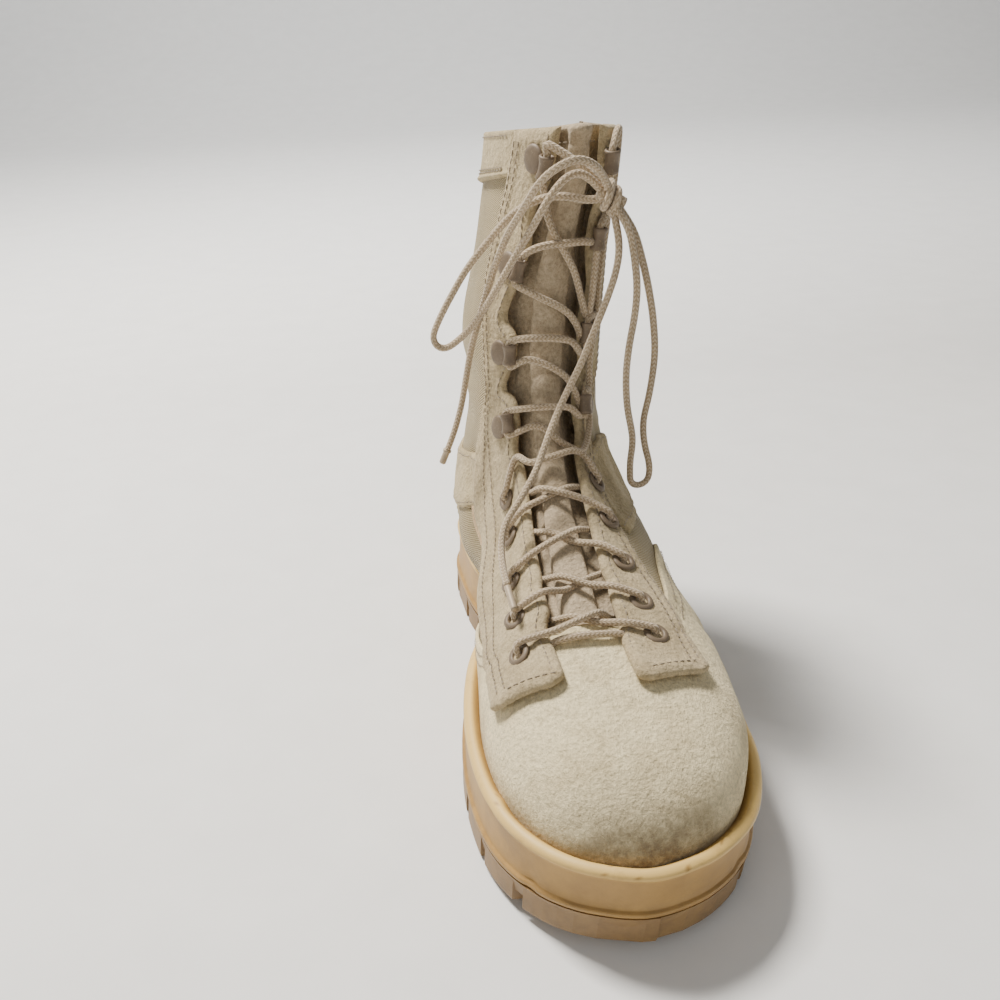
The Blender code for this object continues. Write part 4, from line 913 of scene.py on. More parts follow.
def closed_sheet(top, under):
    """Points and faces of a sheet from its two sides, closed round the edge where they are apart."""
    high, wide = top.shape[:2]
    count = high * wide
    points = np.concatenate((top.reshape(-1, 3), under.reshape(-1, 3)))
    faces = grid_faces(high, wide) + grid_faces(high, wide, count, flip=True)
    border = [(0, column) for column in range(wide)]
    border += [(row, wide - 1) for row in range(1, high)]
    border += [(high - 1, column) for column in range(wide - 2, -1, -1)]
    border += [(row, 0) for row in range(high - 2, 0, -1)]
    numbers = [row * wide + column for row, column in border]
    for number, after in zip(numbers, numbers[1:] + numbers[:1]):
        apart = points[number] - points[number + count]
        if apart @ apart > 1e-14:
            faces.append((number, number + count, after + count, after))
    return points, faces


def sheet(name, row_grid, place_grid, lift, thick, finish, replaces=(), ends=(True, True), swell=0.0,
          extra=None):
    """Leather laid over the surface: rounded top, flat underside, welded round its edge.

    Its ends say which pairs of edges are rounded, swell is the height of the pressed edge line,
    and extra gives further height from the rows, the places and the points under them.
    """
    base, normal = skin(row_grid, place_grid, lift)
    gap = np.full(base.shape[:2], 1.0)
    if ends[0]:
        gap = np.minimum(gap, runs_of(base, 0))
    if ends[1]:
        gap = np.minimum(gap, runs_of(base, 1))
    height = thick * rounded(gap, EDGE_ROLL * thick)
    if swell:
        height += swell * np.exp(-((gap - SWELL_PLACE) / SWELL_REACH) ** 2)
        height -= 0.6 * swell * np.exp(-((gap - 0.0022) / 0.0006) ** 2)
    if extra is not None:
        height = height + extra(row_grid, place_grid, base)
    points, faces = closed_sheet(base + normal * height[..., None], base)
    thing = piece_from(name, points, faces, finish)
    if replaces:
        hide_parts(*replaces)
    return thing


def strip_grid(row_start, row_end, low, high, along=120, wide=24, roll=0.02, row_roll=0.004):
    """Grids of rows and places between two edges given as functions of the row."""
    rows_line = row_start + (row_end - row_start) * edge_stops(along, row_roll)
    stops = edge_stops(wide, roll)
    row_grid = np.repeat(rows_line[:, None], len(stops), axis=1)
    near = np.array([low(row) for row in rows_line])[:, None]
    far = np.array([high(row) for row in rows_line])[:, None]
    return row_grid, near + (far - near) * stops[None, :]


print("stops of a rounded edge", edge_stops(3, 0.02).round(3))

# %% [markdown]
# ## Cup sole
# The boot stands in a moulded rubber cup with a rolled lip, a tall side and a step. One profile is
# carried round the sole's plan, which keeps the lip even; sweeping a curve object would pinch it at
# the toe. Small pits show its age, and the lip's top is painted pale as a highlight.

# %% Cup sole
PLAN_PIECES = 10


def fine_outline(inset):
    """Smooth closed plan of the sole, drawn in at the inner waist and moved inward."""
    loop = outline(0.0)
    corners = zip(np.roll(loop, 1, axis=0), loop, np.roll(loop, -1, axis=0), np.roll(loop, -2, axis=0))
    spots = np.array([spline(*four, piece / PLAN_PIECES) for four in corners for piece in range(PLAN_PIECES)])
    waist = 0.21 * np.exp(-((spots[:, 1] / LENGTH - 0.375) / 0.085) ** 2)
    spots[:, 0] *= np.where(spots[:, 0] < 0.0, 1.0 - waist, 1.0)
    return pushed(spots, inset)


# Side of the cup: share of the way up, inset in metres, share of the lip's painted highlight
CUP_SIDE = (
    (0.000, 0.0016, 0.0), (0.012, 0.0004, 0.0), (0.030, -0.0002, 0.0), (0.090, -0.0002, 0.0), (0.118, 0.0002, 0.0),
    (0.130, 0.0010, 0.0), (0.150, 0.0012, 0.0), (0.300, 0.0015, 0.0), (0.480, 0.0017, 0.0), (0.640, 0.0015, 0.0),
    (0.760, 0.0014, 0.0), (0.800, 0.0014, 0.1), (0.825, 0.0011, 0.3), (0.850, 0.0006, 0.5), (0.885, 0.0003, 0.7),
    (0.930, 0.0006, 0.9), (0.965, 0.0013, 1.0), (0.990, 0.0024, 1.0), (1.000, 0.0032, 1.0),
)
# Top of the lip: drop below its height, inset in metres, share of the painted highlight
CUP_TOP = ((0.0000, 0.0040, 0.9), (-0.0005, 0.0047, 0.6), (-0.0014, 0.0056, 0.2), (-0.0026, 0.0068, 0.0),
           (-0.0060, 0.0084, 0.0))
CUP_INSIDE = 0.0084
count = len(fine_outline(0.0))


def plan_ring(inset, height):
    """Ring of points round the sole's plan, at a height given for each place ahead."""
    loop = fine_outline(inset)
    return np.column_stack((loop[:, 0], HEEL_REST - loop[:, 1], height(loop[:, 1])))


def cup_side(share):
    """Height up the cup's side as a share from the tread to the lip."""
    def height(ahead):
        low = TREAD_HEIGHT + spring(ahead) + GAP
        return low + (lip_height(ahead) - low) * share
    return height


rings = []
lip_highlight = []
for share, inset, highlight_share in CUP_SIDE:
    rings.append(plan_ring(inset, cup_side(share)))
    lip_highlight += [highlight_share] * count
for drop, inset, highlight_share in CUP_TOP:
    rings.append(plan_ring(inset, lambda ahead: lip_height(ahead) + drop))
    lip_highlight += [highlight_share] * count
rings.append(plan_ring(CUP_INSIDE, footbed))
lip_highlight += [0.0] * count
points = np.concatenate(rings)
faces = grid_faces(len(rings), count, wrap=True)
faces += cap_faces(0, count, flip=True) + cap_faces((len(rings) - 1) * count, count)
# Small pits and cuts of wear in the lip and side: side, forward, height, radius, depth
PITS = (
    (0.010, 0.303, 0.036, 0.0028, 0.0016), (-0.052, 0.258, 0.037, 0.0040, 0.0012),
    (-0.044, 0.284, 0.020, 0.0035, 0.0014), (0.036, 0.284, 0.022, 0.0040, 0.0010),
    (0.058, 0.180, 0.034, 0.0030, 0.0008), (-0.052, 0.150, 0.030, 0.0040, 0.0008),
)
for side, ahead, height, radius, deep in PITS:
    spot = np.array((side, HEEL_REST - ahead, height))
    near = np.linalg.norm(points - spot, axis=1)
    inward = np.array((0.0, HEEL_REST - 0.62 * LENGTH, height)) - spot
    points += (deep * np.exp(-(near / radius) ** 2))[:, None] * inward / np.linalg.norm(inward)
cup = piece_from("cup_sole", points, faces, "cup")
# The share of the lip's painted highlight goes to the mesh as an attribute that the material reads
layer = cup.data.attributes.new("lip_highlight", "FLOAT", "POINT")
welded = np.array([vertex.co[:] for vertex in cup.data.vertices])
highlight_shares = {tuple(np.round(point, 6)): value for point, value in zip(points, lip_highlight)}
for number, point in enumerate(welded):
    layer.data[number].value = highlight_shares.get(tuple(np.round(point, 6)), 0.0)
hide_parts("midsole")
print("cup sole", len(cup.data.polygons))

# %% [markdown]
# ### Tread
# Under the cup lies a lugged tread with a separate heel. Only its rim shows in the photograph, so the
# underside is finished plainly, with blocks around the edge and grooves between, as such boots
# have. Grooves could be cut out of a slab, but separate tapered blocks make a lighter mesh.

# %% Tread
# Raised waist of the tread: share of the length, share of ARCH_RISE
WAIST = ((0.0, 0.0), (0.285, 0.0), (0.300, 1.0), (0.42, 0.72), (0.50, 0.0), (1.0, 0.0))
# Plan of the block rows: shares of the length where each block starts and ends, half a groove's
# width, and how far the blocks reach inward under the forefoot and elsewhere
GROOVES = (0.055, 0.145, 0.235, 0.56, 0.65, 0.74, 0.83, 0.915)
BLOCKS = ((0.0, 0.055), (0.055, 0.145), (0.145, 0.235), (0.235, 0.292), (0.47, 0.56), (0.56, 0.65),
          (0.65, 0.74), (0.74, 0.83), (0.83, 0.915), (0.915, 1.0))
HALF_GROOVE = 0.0025
BLOCK_DEPTH = 0.021
FOREFOOT_DEPTH = 0.024
BARS = (0.10, 0.19, 0.60, 0.69, 0.78, 0.865)
BLOCK_DRAFT = 0.0008
BEVEL = 0.0006


def tread_bottom(ahead):
    """Underside of the tread with the raised waist."""
    return spring(ahead) + ARCH_RISE * between(WAIST, ahead / LENGTH)


def tread_top(ahead):
    """Upper side of the tread, on which the cup lies."""
    return TREAD_HEIGHT + spring(ahead)


def edge_at(ahead, side, inset):
    """Sideways place of the plan's edge at a forward place."""
    loop = fine_outline(inset)
    half = len(loop) // 2
    line = loop[:half + 1] if side < 0 else np.vstack((loop[:1], loop[:half - 1:-1]))
    order = np.argsort(line[:, 1])
    return float(np.interp(ahead, line[order, 1], line[order, 0]))


# Rings of one block from its top: share of its height, share of the draft
BLOCK_RINGS = ((1.0, 0.0), (0.10, 0.0), (0.02, 0.35), (0.0, 1.0))


def block(points, faces, corners):
    """One tread block: a plan polygon from the tread's top to its underside, drawn in below."""
    corners = np.array(corners)
    centre = corners.mean(axis=0)
    start = len(points)
    for level, pull in BLOCK_RINGS:
        for x, ahead in corners:
            offset = np.array((x, ahead)) - centre
            offset *= max(0.0, 1.0 - BLOCK_DRAFT * pull / max(1e-6, np.linalg.norm(offset)))
            x2, ahead2 = centre + offset
            bottom, top = tread_bottom(ahead2), tread_top(ahead2)
            points.append((x2, HEEL_REST - ahead2, bottom + (top - bottom) * level))
    wide = len(corners)
    faces += grid_faces(len(BLOCK_RINGS), wide, start, wrap=True)
    faces.append(tuple(range(start, start + wide)))
    faces.append(tuple(range(start + 3 * wide, start + 4 * wide))[::-1])


points = []
faces = []
slab = []
for level in (0.0, 1.0):
    loop = fine_outline(0.0012 if level == 0.0 else 0.0)
    base = np.maximum(tread_bottom(loop[:, 1]) + 0.0062, 0.0)
    base = np.minimum(base, tread_top(loop[:, 1]) - 0.0012)
    height = base + (tread_top(loop[:, 1]) - base) * level
    slab.append(np.column_stack((loop[:, 0], HEEL_REST - loop[:, 1], height)))
points += [tuple(point) for ring in slab for point in ring]
faces += grid_faces(2, count, wrap=True) + cap_faces(0, count) + cap_faces(count, count)
for side in (-1, 1):
    for low_share, high_share in BLOCKS:
        near = low_share * LENGTH + (HALF_GROOVE if low_share in GROOVES else 0.0001)
        far = high_share * LENGTH - (HALF_GROOVE if high_share in GROOVES else 0.0001)
        line = np.linspace(near, far, 7)
        outside = [(edge_at(ahead, side, 0.0002), ahead) for ahead in line]
        depth = FOREFOOT_DEPTH if 0.3 < low_share < 0.9 else BLOCK_DEPTH
        inside = []
        for x, ahead in outside[::-1]:
            inner_x = side * max(0.0022, side * x - depth - (0.003 if ahead > 0.5 * (near + far) else 0.0))
            if side * x < 0.004:
                inner_x = x
            inside.append((inner_x, ahead))
        block(points, faces, outside + inside)
for share in BARS:
    middle = share * LENGTH
    reach = 0.5 * (edge_at(middle, 1, 0.0) + edge_at(middle, -1, 0.0))
    wide = 0.5 * (edge_at(middle, 1, 0.0) - edge_at(middle, -1, 0.0)) - 0.031
    if wide > 0.006:
        bar = [(reach - wide, middle - 0.008), (reach, middle - 0.003), (reach + wide, middle - 0.008),
               (reach + wide, middle + 0.004), (reach, middle + 0.010), (reach - wide, middle + 0.004)]
        block(points, faces, bar)
tread = piece_from("lugged_tread", points, faces, "tread", smooth=False)
bevel = tread.modifiers.new("moulded_edge", "BEVEL")
bevel.width = BEVEL
bevel.segments = 2
bevel.limit_method = "ANGLE"
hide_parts("outsole")
print("tread faces", len(tread.data.polygons))

# %% [markdown]
# ### Insole
# A thin cloth-covered sock lies in the boot. It could be padded in layers, but one soft sheet is
# enough, because little of it can be seen from above.

# %% Insole
SOCK_INSET = UPPER_INSET + GAP + MARGIN + WALL + 0.0012
# Rings of the sock: height above the footbed, how far the edge is drawn in
SOCK_RINGS = ((0.0, 0.0), (0.0034, 0.0), (0.0040, 0.0008))
rings = [plan_ring(SOCK_INSET + pull, lambda ahead: footbed(ahead) + GAP + thick)
         for thick, pull in SOCK_RINGS]
faces = grid_faces(len(rings), count, wrap=True) + cap_faces(0, count) + cap_faces(2 * count, count)
sock = piece_from("sock_insole", np.concatenate(rings), faces, "sock")
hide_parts("insole")
print("sock", len(sock.data.polygons))

# %% [markdown]
# ## Nylon base
# The base of the upper is a stocking of nylon with a knit lining, open at the throat. Two grids, one
# outside and one inside, are joined along the openings, so that the wall shows its true thickness.

# %% Nylon base
# The row at which the throat begins, and the place across where the nylon ends beneath the facing
THROAT_ROW = 7.0
BASE_EDGE = 1.42


def hollow_base():
    """Nylon outside and knitted lining inside, open at throat, collar and feather edge."""
    columns = np.concatenate((np.linspace(-3.0, -2.0, 55), np.linspace(-2.0, -BASE_EDGE, 10)[1:]))
    rows_line = np.linspace(0.0, TOP_ROW, (ROWS - 1) * 6 + 1)
    points_, faces_, kinds = [], [], []

    def patch(row_line, place_line, lift, kind, flip):
        """Part of one side of the wall; kind 0 is nylon and 1 is lining."""
        spots = skin(*np.meshgrid(row_line, place_line, indexing="ij"), lift)[0]
        start = len(points_)
        points_.extend(spots.reshape(-1, 3))
        new = grid_faces(len(row_line), len(place_line), start, flip)
        faces_.extend(new)
        kinds.extend([kind] * len(new))

    def rim(row_line, place_line):
        """Strip that joins nylon and lining along an opening."""
        start = len(points_)
        points_.extend(skin(row_line, place_line, 0.0)[0])
        points_.extend(skin(row_line, place_line, -WALL)[0])
        new = grid_faces(2, len(row_line), start)
        faces_.extend(new)
        kinds.extend([0] * len(new))

    front = rows_line[rows_line <= THROAT_ROW]
    behind = rows_line[rows_line >= THROAT_ROW]
    full = np.concatenate((columns, np.linspace(-BASE_EDGE, BASE_EDGE, 27)[1:], -columns[-2::-1]))
    for lift, kind, flip in ((0.0, 0, False), (-WALL, 1, True)):
        patch(front, full, lift, kind, flip)
        patch(behind, columns, lift, kind, flip)
        patch(behind, -columns[::-1], lift, kind, flip)
    for place_line in (columns, -columns[::-1]):
        rim(np.full(len(place_line), TOP_ROW), place_line)
    for edge in (-BASE_EDGE, BASE_EDGE):
        rim(behind, np.full(len(behind), edge))
    mesh = bpy.data.meshes.new("nylon_base")
    mesh.from_pydata([tuple(map(float, point)) for point in points_], [], faces_)
    mesh.materials.append(FINISH["nylon"])
    mesh.materials.append(FINISH["lining"])
    for polygon, kind in zip(mesh.polygons, kinds):
        polygon.material_index = kind
    work = bmesh.new()
    work.from_mesh(mesh)
    bmesh.ops.remove_doubles(work, verts=work.verts, dist=1e-6)
    bmesh.ops.recalc_face_normals(work, faces=work.faces)
    work.to_mesh(mesh)
    work.free()
    mesh.shade_smooth()
    thing = bpy.data.objects.new("nylon_base", mesh)
    bpy.context.scene.collection.objects.link(thing)
    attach(thing, "root")
    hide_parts("upper")
    return thing


base_cloth = hollow_base()
print("nylon base", len(base_cloth.data.polygons))

# %% [markdown]
# ### Vamp
# The vamp covers the toes and sends two wings back along the sole. It is one sheet whose upper
# edge is a curve of places, as a pattern cutter draws it.

# %% Vamp
# Upper edge of the vamp on each side: place across, row
VAMP_EDGE = {
    -1: ((0.0, 7.02), (0.5, 6.96), (0.95, 6.82), (1.3, 6.9), (2.0, 7.35), (2.3, 8.1), (2.6, 9.3), (3.0, 10.6)),
    1: ((0.0, 7.02), (0.5, 6.96), (0.95, 6.82), (1.3, 6.9), (1.9, 7.15), (2.02, 8.0), (2.10, 9.0), (2.20, 9.7),
        (2.4, 10.0), (2.7, 10.3), (3.0, 10.6)),
}


def vamp_edge(place):
    """Row of the vamp's upper edge at a place across."""
    return float(between(VAMP_EDGE[1 if place > 0.0 else -1], abs(place)))


columns = np.concatenate((np.linspace(-3.0, -2.0, 50), np.linspace(-2.0, 2.0, 70)[1:-1],
                          np.linspace(2.0, 3.0, 50)))
VAMP_ROLL = 0.0015
EDGE_STEPS = np.array((0.05, 0.04, 0.03, 0.022, 0.015, 0.0095, 0.0055, 0.0025, 0.001, 0.0))
stops = np.concatenate((np.linspace(0.0, 0.94, 74), 1.0 - EDGE_STEPS))
edge_line = np.array([vamp_edge(place) for place in columns])
for _ in range(4):
    edge_line[1:-1] = 0.25 * edge_line[:-2] + 0.5 * edge_line[1:-1] + 0.25 * edge_line[2:]
row_grid = stops[:, None] * edge_line[None, :]
place_grid = np.repeat(columns[None, :], len(stops), axis=0)


def vamp_lift(row_grid, place_grid, base):
    """The vamp's far edge only is rounded; its toe and feather edges run on."""
    back = row_grid > 0.5 * edge_line[None, :]
    height = PANEL * rounded(runs_of(base, 0), VAMP_ROLL)
    return np.where(back, height - PANEL, 0.0)


vamp = sheet("vamp_suede", row_grid, place_grid, GAP, PANEL, "vamp", ("vamp",), (False, False),
             extra=vamp_lift)
print("vamp", len(vamp.data.polygons))

# %% [markdown]
# ### Pieces wrapped around the heel and the ankle
# Counter and ankle stays are cut on curves that don't follow the last's rows. They could be drawn on
# the grid, but would come out jagged, so their outlines are drawn in side view and dropped on the
# surface by rays, as cloth is pinned to a form.

# %% Heel counter and ankle stays
wrap_tree = BVHTree.FromPolygons([tuple(point) for point in SKIN.reshape(-1, 3)],
                                 grid_faces(SKIN.shape[0], SKIN.shape[1]))
# How far out the rays start round the heel and beside the ankle, and where the side rays aim; then
# how far round the counter reaches in degrees, the height of its foot, and its edge's swelling
HEEL_OUT = 0.16
SIDE_OUT = 0.09
SIDE_AIM = -0.004
COUNTER_TURN = 125.0
COUNTER_FOOT = 0.034
WRAP_SWELL = 0.0003


def wrapped(name, spots_high, spots_low, steps_down, replaces=()):
    """Suede between two lines of points, pulled onto the surface from outside.

    A spot is sideways, forward and up, then the sideways and forward place that its ray aims at.
    """
    along = len(spots_high)
    stops_ = edge_stops(steps_down, 0.02)
    base = np.zeros((len(stops_), along, 3))
    normal = np.zeros_like(base)
    for column in range(along):
        for number, stop in enumerate(stops_):
            aim = np.array(spots_high[column]) * (1.0 - stop) + np.array(spots_low[column]) * stop
            axis = Vector((aim[3], HEEL_REST - aim[4], aim[2]))
            away = Vector((aim[0], HEEL_REST - aim[1], aim[2]))
            ray = (axis - away).normalized()
            hit, _, face, _ = wrap_tree.ray_cast(away, ray)
            if hit is None:
                hit, _, face, _ = wrap_tree.find_nearest(away)
            cell_row, cell_column = divmod(face, SKIN.shape[1] - 1)
            base[number, column] = hit
            normal[number, column] = SKIN_NORMAL[cell_row, cell_column]
    for _ in range(2):
        normal[:, 1:-1] = (normal[:, :-2] + normal[:, 1:-1] + normal[:, 2:]) / 3.0
        normal[1:-1] = (normal[:-2] + normal[1:-1] + normal[2:]) / 3.0
    normal /= np.linalg.norm(normal, axis=-1, keepdims=True)
    gap = np.minimum(runs_of(base, 0), runs_of(base, 1))
    height = GAP + PANEL * rounded(gap, EDGE_ROLL * PANEL)
    height += WRAP_SWELL * np.exp(-((gap - SWELL_PLACE) / SWELL_REACH) ** 2)
    points_, faces_ = closed_sheet(base + normal * height[..., None], base + normal * 0.5 * GAP)
    thing = piece_from(name, points_, faces_, "suede")
    if replaces:
        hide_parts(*replaces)
    return thing


# Top line of the counter: turn round the heel in degrees from the back, height of its top edge
COUNTER_TOP = (
    (-125.0, 0.046), (-112.0, 0.054), (-95.0, 0.063), (-75.0, 0.072), (-50.0, 0.079), (-25.0, 0.084),
    (0.0, 0.086), (25.0, 0.084), (50.0, 0.079), (75.0, 0.072), (95.0, 0.063), (112.0, 0.054), (125.0, 0.046),
)
high_line, low_line = [], []
for angle in np.linspace(-COUNTER_TURN, COUNTER_TURN, 110):
    turn_ = math.radians(angle)
    x, ahead = HEEL_OUT * math.sin(turn_), HEEL_REST - HEEL_OUT * math.cos(turn_)
    high_line.append((x, ahead, float(between(COUNTER_TOP, angle)), 0.0, HEEL_REST))
    low_line.append((x, ahead, COUNTER_FOOT, 0.0, HEEL_REST))
counter = wrapped("heel_counter", high_line, low_line, 26, ("counter",))
print("heel counter", len(counter.data.polygons))


def side_panel(name, side, upper_line, lower_line):
    """Suede patch seen from the side: between two lines of (forward, height), onto that side."""
    lines = [[(side * SIDE_OUT, ahead, height, SIDE_AIM, ahead) for ahead, height in line]
             for line in (upper_line, lower_line)]
    return wrapped(name, *lines, 22)


def eased(table, count_):
    """More points along a short table, on a smooth curve."""
    line = smooth_route([Vector((first, second, 0.0)) for first, second in table], 0.001)
    runs = np.concatenate(([0.0], np.cumsum([(after - before).length for before, after in zip(line, line[1:])])))
    stops_ = np.linspace(0.0, runs[-1], count_)
    return list(zip(np.interp(stops_, runs, [spot.x for spot in line]),
                    np.interp(stops_, runs, [spot.y for spot in line])))


# Upper and lower line of each ankle stay: forward, height
STAYS = {
    -1: (((0.124, 0.098), (0.100, 0.106), (0.070, 0.098), (0.040, 0.090), (0.014, 0.092)),
         ((0.136, 0.082), (0.112, 0.086), (0.082, 0.074), (0.050, 0.066), (0.014, 0.066))),
    1: (((0.122, 0.112), (0.100, 0.113), (0.070, 0.103), (0.038, 0.092), (0.014, 0.092)),
        ((0.153, 0.090), (0.118, 0.086), (0.082, 0.075), (0.048, 0.066), (0.014, 0.066))),
}
for side, word in ((-1, "inner"), (1, "outer")):
    upper_line, lower_line = STAYS[side]
    stay = side_panel(f"ankle_stay_{word}", side, eased(upper_line, 80), eased(lower_line, 80))
    print(stay.name, len(stay.data.polygons))

# %% [markdown]
# ### Backstay and collar band
# A strip covers the back seam, and a folded band closes the top, where it lies over the nylon with a
# turned hem. Both follow the rows of the last, so they are plain sheets with a raised edge.

# %% Backstay and collar band
# Rows that the backstay spans, its place across beside the back seam, and the band's lower row.
# Places go on past the back seam: 3 and -3 are the same line, so 6 is one whole turn.
BACKSTAY_ROWS = (19.3, 24.75)
BACKSTAY_EDGE = 2.84
BAND_ROW = 24.55
BAND_EDGE = 1.96


def past_seam(places):
    """Places past the back seam, read on from the other side."""
    return np.where(places > 3.0, places - 6.0, places)


row_grid, place_grid = strip_grid(*BACKSTAY_ROWS, lambda row: BACKSTAY_EDGE, lambda row: 6.0 - BACKSTAY_EDGE,
                                  70, 16, 0.03)
place_grid = past_seam(place_grid)
sheet("backstay_suede", row_grid, place_grid, GAP, PANEL, "suede", ("backstay",))


def around_collar(row_start, row_end, edge, along, count_):
    """Grid round the back of the collar, from one facing to the other."""
    rows_line = row_start + (row_end - row_start) * edge_stops(along, 0.02)
    turns_ = edge + (6.0 - 2.0 * edge) * edge_stops(count_, 0.004)
    return np.meshgrid(rows_line, past_seam(turns_), indexing="ij")


def hem_lift(row_grid, place_grid, base):
    """The band's folded hem at its lower edge and rolled edge at the collar."""
    low = row_grid - BAND_ROW
    hem = 0.0010 * np.exp(-((low - 0.10) / 0.08) ** 2)
    return hem + 0.0006 * np.exp(-((TOP_ROW - row_grid) / 0.10) ** 2)


row_grid, place_grid = around_collar(BAND_ROW, TOP_ROW, BAND_EDGE, 26, 150)
sheet("collar_band_suede", row_grid, place_grid, GAP, PANEL, "suede", ("collar_band",),
      extra=hem_lift)
print("panels laid")

# %% [markdown]
# ## Facings
# Two thick folded facings carry the hardware. Their free ends stand off the vamp as tabs, and
# their edges scallop where the lace has pulled them. Bumps in the edge curve make the scallops, and
# a rising lift makes the tabs stand away and throw a shadow.

# %% Facings
# Scallops of each throat edge: row, reach in rows, depth across
SCALLOP = {
    -1: ((14.9, 1.15, 0.34), (19.2, 1.10, 0.30), (23.1, 0.9, 0.16), (11.5, 0.5, 0.14), (7.0, 0.30, 0.06),
         (8.0, 0.22, 0.05)),
    1: ((15.6, 1.15, 0.22), (20.2, 1.10, 0.22), (23.8, 0.9, 0.12), (11.8, 0.5, 0.10), (6.95, 0.30, 0.05),
        (7.9, 0.22, 0.05)),
}
# Row at which each tab ends, and how many rows its throat corner reaches farther down
TAB_END = {-1: 5.42, 1: 5.50}
TAB_SLANT = {-1: 0.20, 1: 0.42}


def facing_edge(side):
    """Place of a facing's throat edge, as a function of the row."""
    def edge(row):
        pull = sum(deep * math.exp(-((row - middle) / wide) ** 2) for middle, wide, deep in SCALLOP[side])
        start = TAB_END[side]
        corner = 0.24 * max(0.0, 1.0 - (row - start) / 0.30) ** 2 if row < start + 0.30 else 0.0
        tab = (0.10 if side < 0 else -0.08) * float(np.clip((7.4 - row) / 0.8, 0.0, 1.0))
        return 0.97 + pull + corner + tab
    return edge


# Outer edge of each facing: row, place across
SEAM_LINE = {
    -1: ((5.0, 2.10), (6.2, 2.12), (7.5, 2.19), (9.0, 2.23), (11.0, 2.21), (13.0, 2.12), (16.0, 2.0), (26.0, 2.0)),
    1: ((5.0, 2.06), (7.0, 2.02), (8.0, 1.90), (9.0, 1.68), (10.0, 1.60), (11.5, 1.62), (13.5, 1.85),
        (16.0, 2.0), (26.0, 2.0)),
}


def facing_outer_edge(side):
    """Place of a facing's sewn edge, as a function of the row, its table's corners smoothed."""
    def edge(row):
        near = [float(between(SEAM_LINE[side], row + step)) for step in (-0.4, -0.2, 0.0, 0.2, 0.4)]
        start = TAB_END[side]
        corner = 0.12 * max(0.0, 1.0 - (row - start) / 0.25) ** 2 if row < start + 0.25 else 0.0
        return sum(near) / len(near) - corner
    return edge


def facing_lift(rows, start):
    """Height of a facing: it climbs over the vamp's edge, and its tab stands off at the free end."""
    over_vamp = (PANEL + 2.0 * GAP) * np.clip(8.2 - rows, 0.0, 1.0)
    return start + over_vamp + 0.0022 * np.clip((6.6 - rows) / 1.1, 0.0, 1.0) ** 1.5


def slanted(side, rows, places):
    """Rows of a facing's lower end, drawn down toward the throat."""
    return rows - TAB_SLANT[side] * np.clip(2.0 - places, 0.0, 1.0) * np.clip((7.2 - rows) / 1.4, 0.0, 1.0)


def throat_curl(row_grid, place_grid, base):
    """Facings curl up at the throat and are a little frayed."""
    curl = np.exp(-((np.abs(place_grid) - 1.0) / 0.10) ** 2)
    fray = 0.00018 * np.sin(row_grid * 61.0 + 3.0 * np.sin(row_grid * 17.0)) * np.sin(place_grid * 47.0)
    return 0.0005 * curl + fray


for side, word in ((-1, "inner"), (1, "outer")):
    edge = facing_edge(side)
    row_grid, place_grid = strip_grid(TAB_END[side], TOP_ROW, edge, facing_outer_edge(side),
                                      260, 26, 0.02, 0.0022)
    row_grid = slanted(side, row_grid, place_grid)
    if side < 0:
        place_grid = -place_grid
    facing = sheet(f"facing_{word}_suede", row_grid, place_grid, facing_lift(row_grid, GAP), FACING, "facing",
                   (f"facing_{word}",), swell=0.0004, extra=throat_curl)
    print(facing.name, len(facing.data.polygons))

# Pale cut edge of the lining leather, which looks out under the inner facing
inner_line = facing_outer_edge(-1)
row_grid, place_grid = strip_grid(5.9, 12.6, lambda row: inner_line(row) - 0.10,
                                  lambda row: inner_line(row) + 0.05, 160, 10, 0.12)
raw_lift = GAP + 0.0010 * np.clip(8.2 - row_grid, 0.0, 1.0)
sheet("facing_inner_raw_edge", row_grid, -place_grid, raw_lift, 0.0013, "edge")

# %% [markdown]
# ### Tongue
# The tongue is suede over padding, creased across, and dips at both sides beneath the facings. Its
# gusset could be a folded piece of its own; one wide sheet is enough, as no edge shows in the throat.

# %% Tongue
# Creases across the tongue: row, depth, lean
TONGUE_CREASES = ((8.4, 0.0006, 0.3), (9.9, 0.0009, -0.4), (11.6, 0.0012, 0.5), (12.8, 0.0010, -0.3),
                  (14.4, 0.0009, 0.4), (16.6, 0.0008, -0.3), (18.9, 0.0007, 0.4), (21.4, 0.0006, -0.2))
TONGUE_FOOT = 6.2
TONGUE_EDGE = 1.72


def tongue_lift(row_grid, place_grid, base):
    """Soft creases across the tongue, its turned hem, its padded crown and its dipped sides."""
    wave = 0.0
    for row, depth, lean in TONGUE_CREASES:
        wave = wave - depth * np.exp(-((row_grid - row - lean * place_grid) / 0.35) ** 2)
    hem = 0.0009 * np.exp(-((TOP_ROW - row_grid) / 0.22) ** 2)
    hem = hem - 0.0005 * np.exp(-((25.45 - row_grid) / 0.08) ** 2)
    reach = np.abs(place_grid)
    sides = np.clip((reach - 0.50) / 0.42, 0.0, 1.0)
    under = np.clip((reach - 1.12) / 0.40, 0.0, 1.0)
    crown = 0.0022 * np.cos(np.minimum(reach, 1.2) * 1.3)
    fade = 0.30 + 0.70 * np.clip((25.9 - row_grid) / 1.6, 0.0, 1.0)
    return wave + hem + crown - fade * (0.0062 * smooth_step(sides) - 0.0060 * smooth_step(under))


row_grid, place_grid = strip_grid(TONGUE_FOOT, TOP_ROW, lambda row: -TONGUE_EDGE, lambda row: TONGUE_EDGE,
                                  200, 64, 0.005, 0.0022)
sheet("tongue_suede", row_grid, place_grid, -0.0050, 0.0026, "tongue", ("tongue",),
      extra=tongue_lift)
print("tongue laid")

# %% [markdown]
# ## Eyelets and speed hooks
# Eyelets are rolled rings. A speed hook is a riveted disc with a saddle that holds a waisted sleeve.
# Both could be lathed with a modifier; profiles turned in a short loop export as plain meshes, and
# each is set on the seat that its solid has.

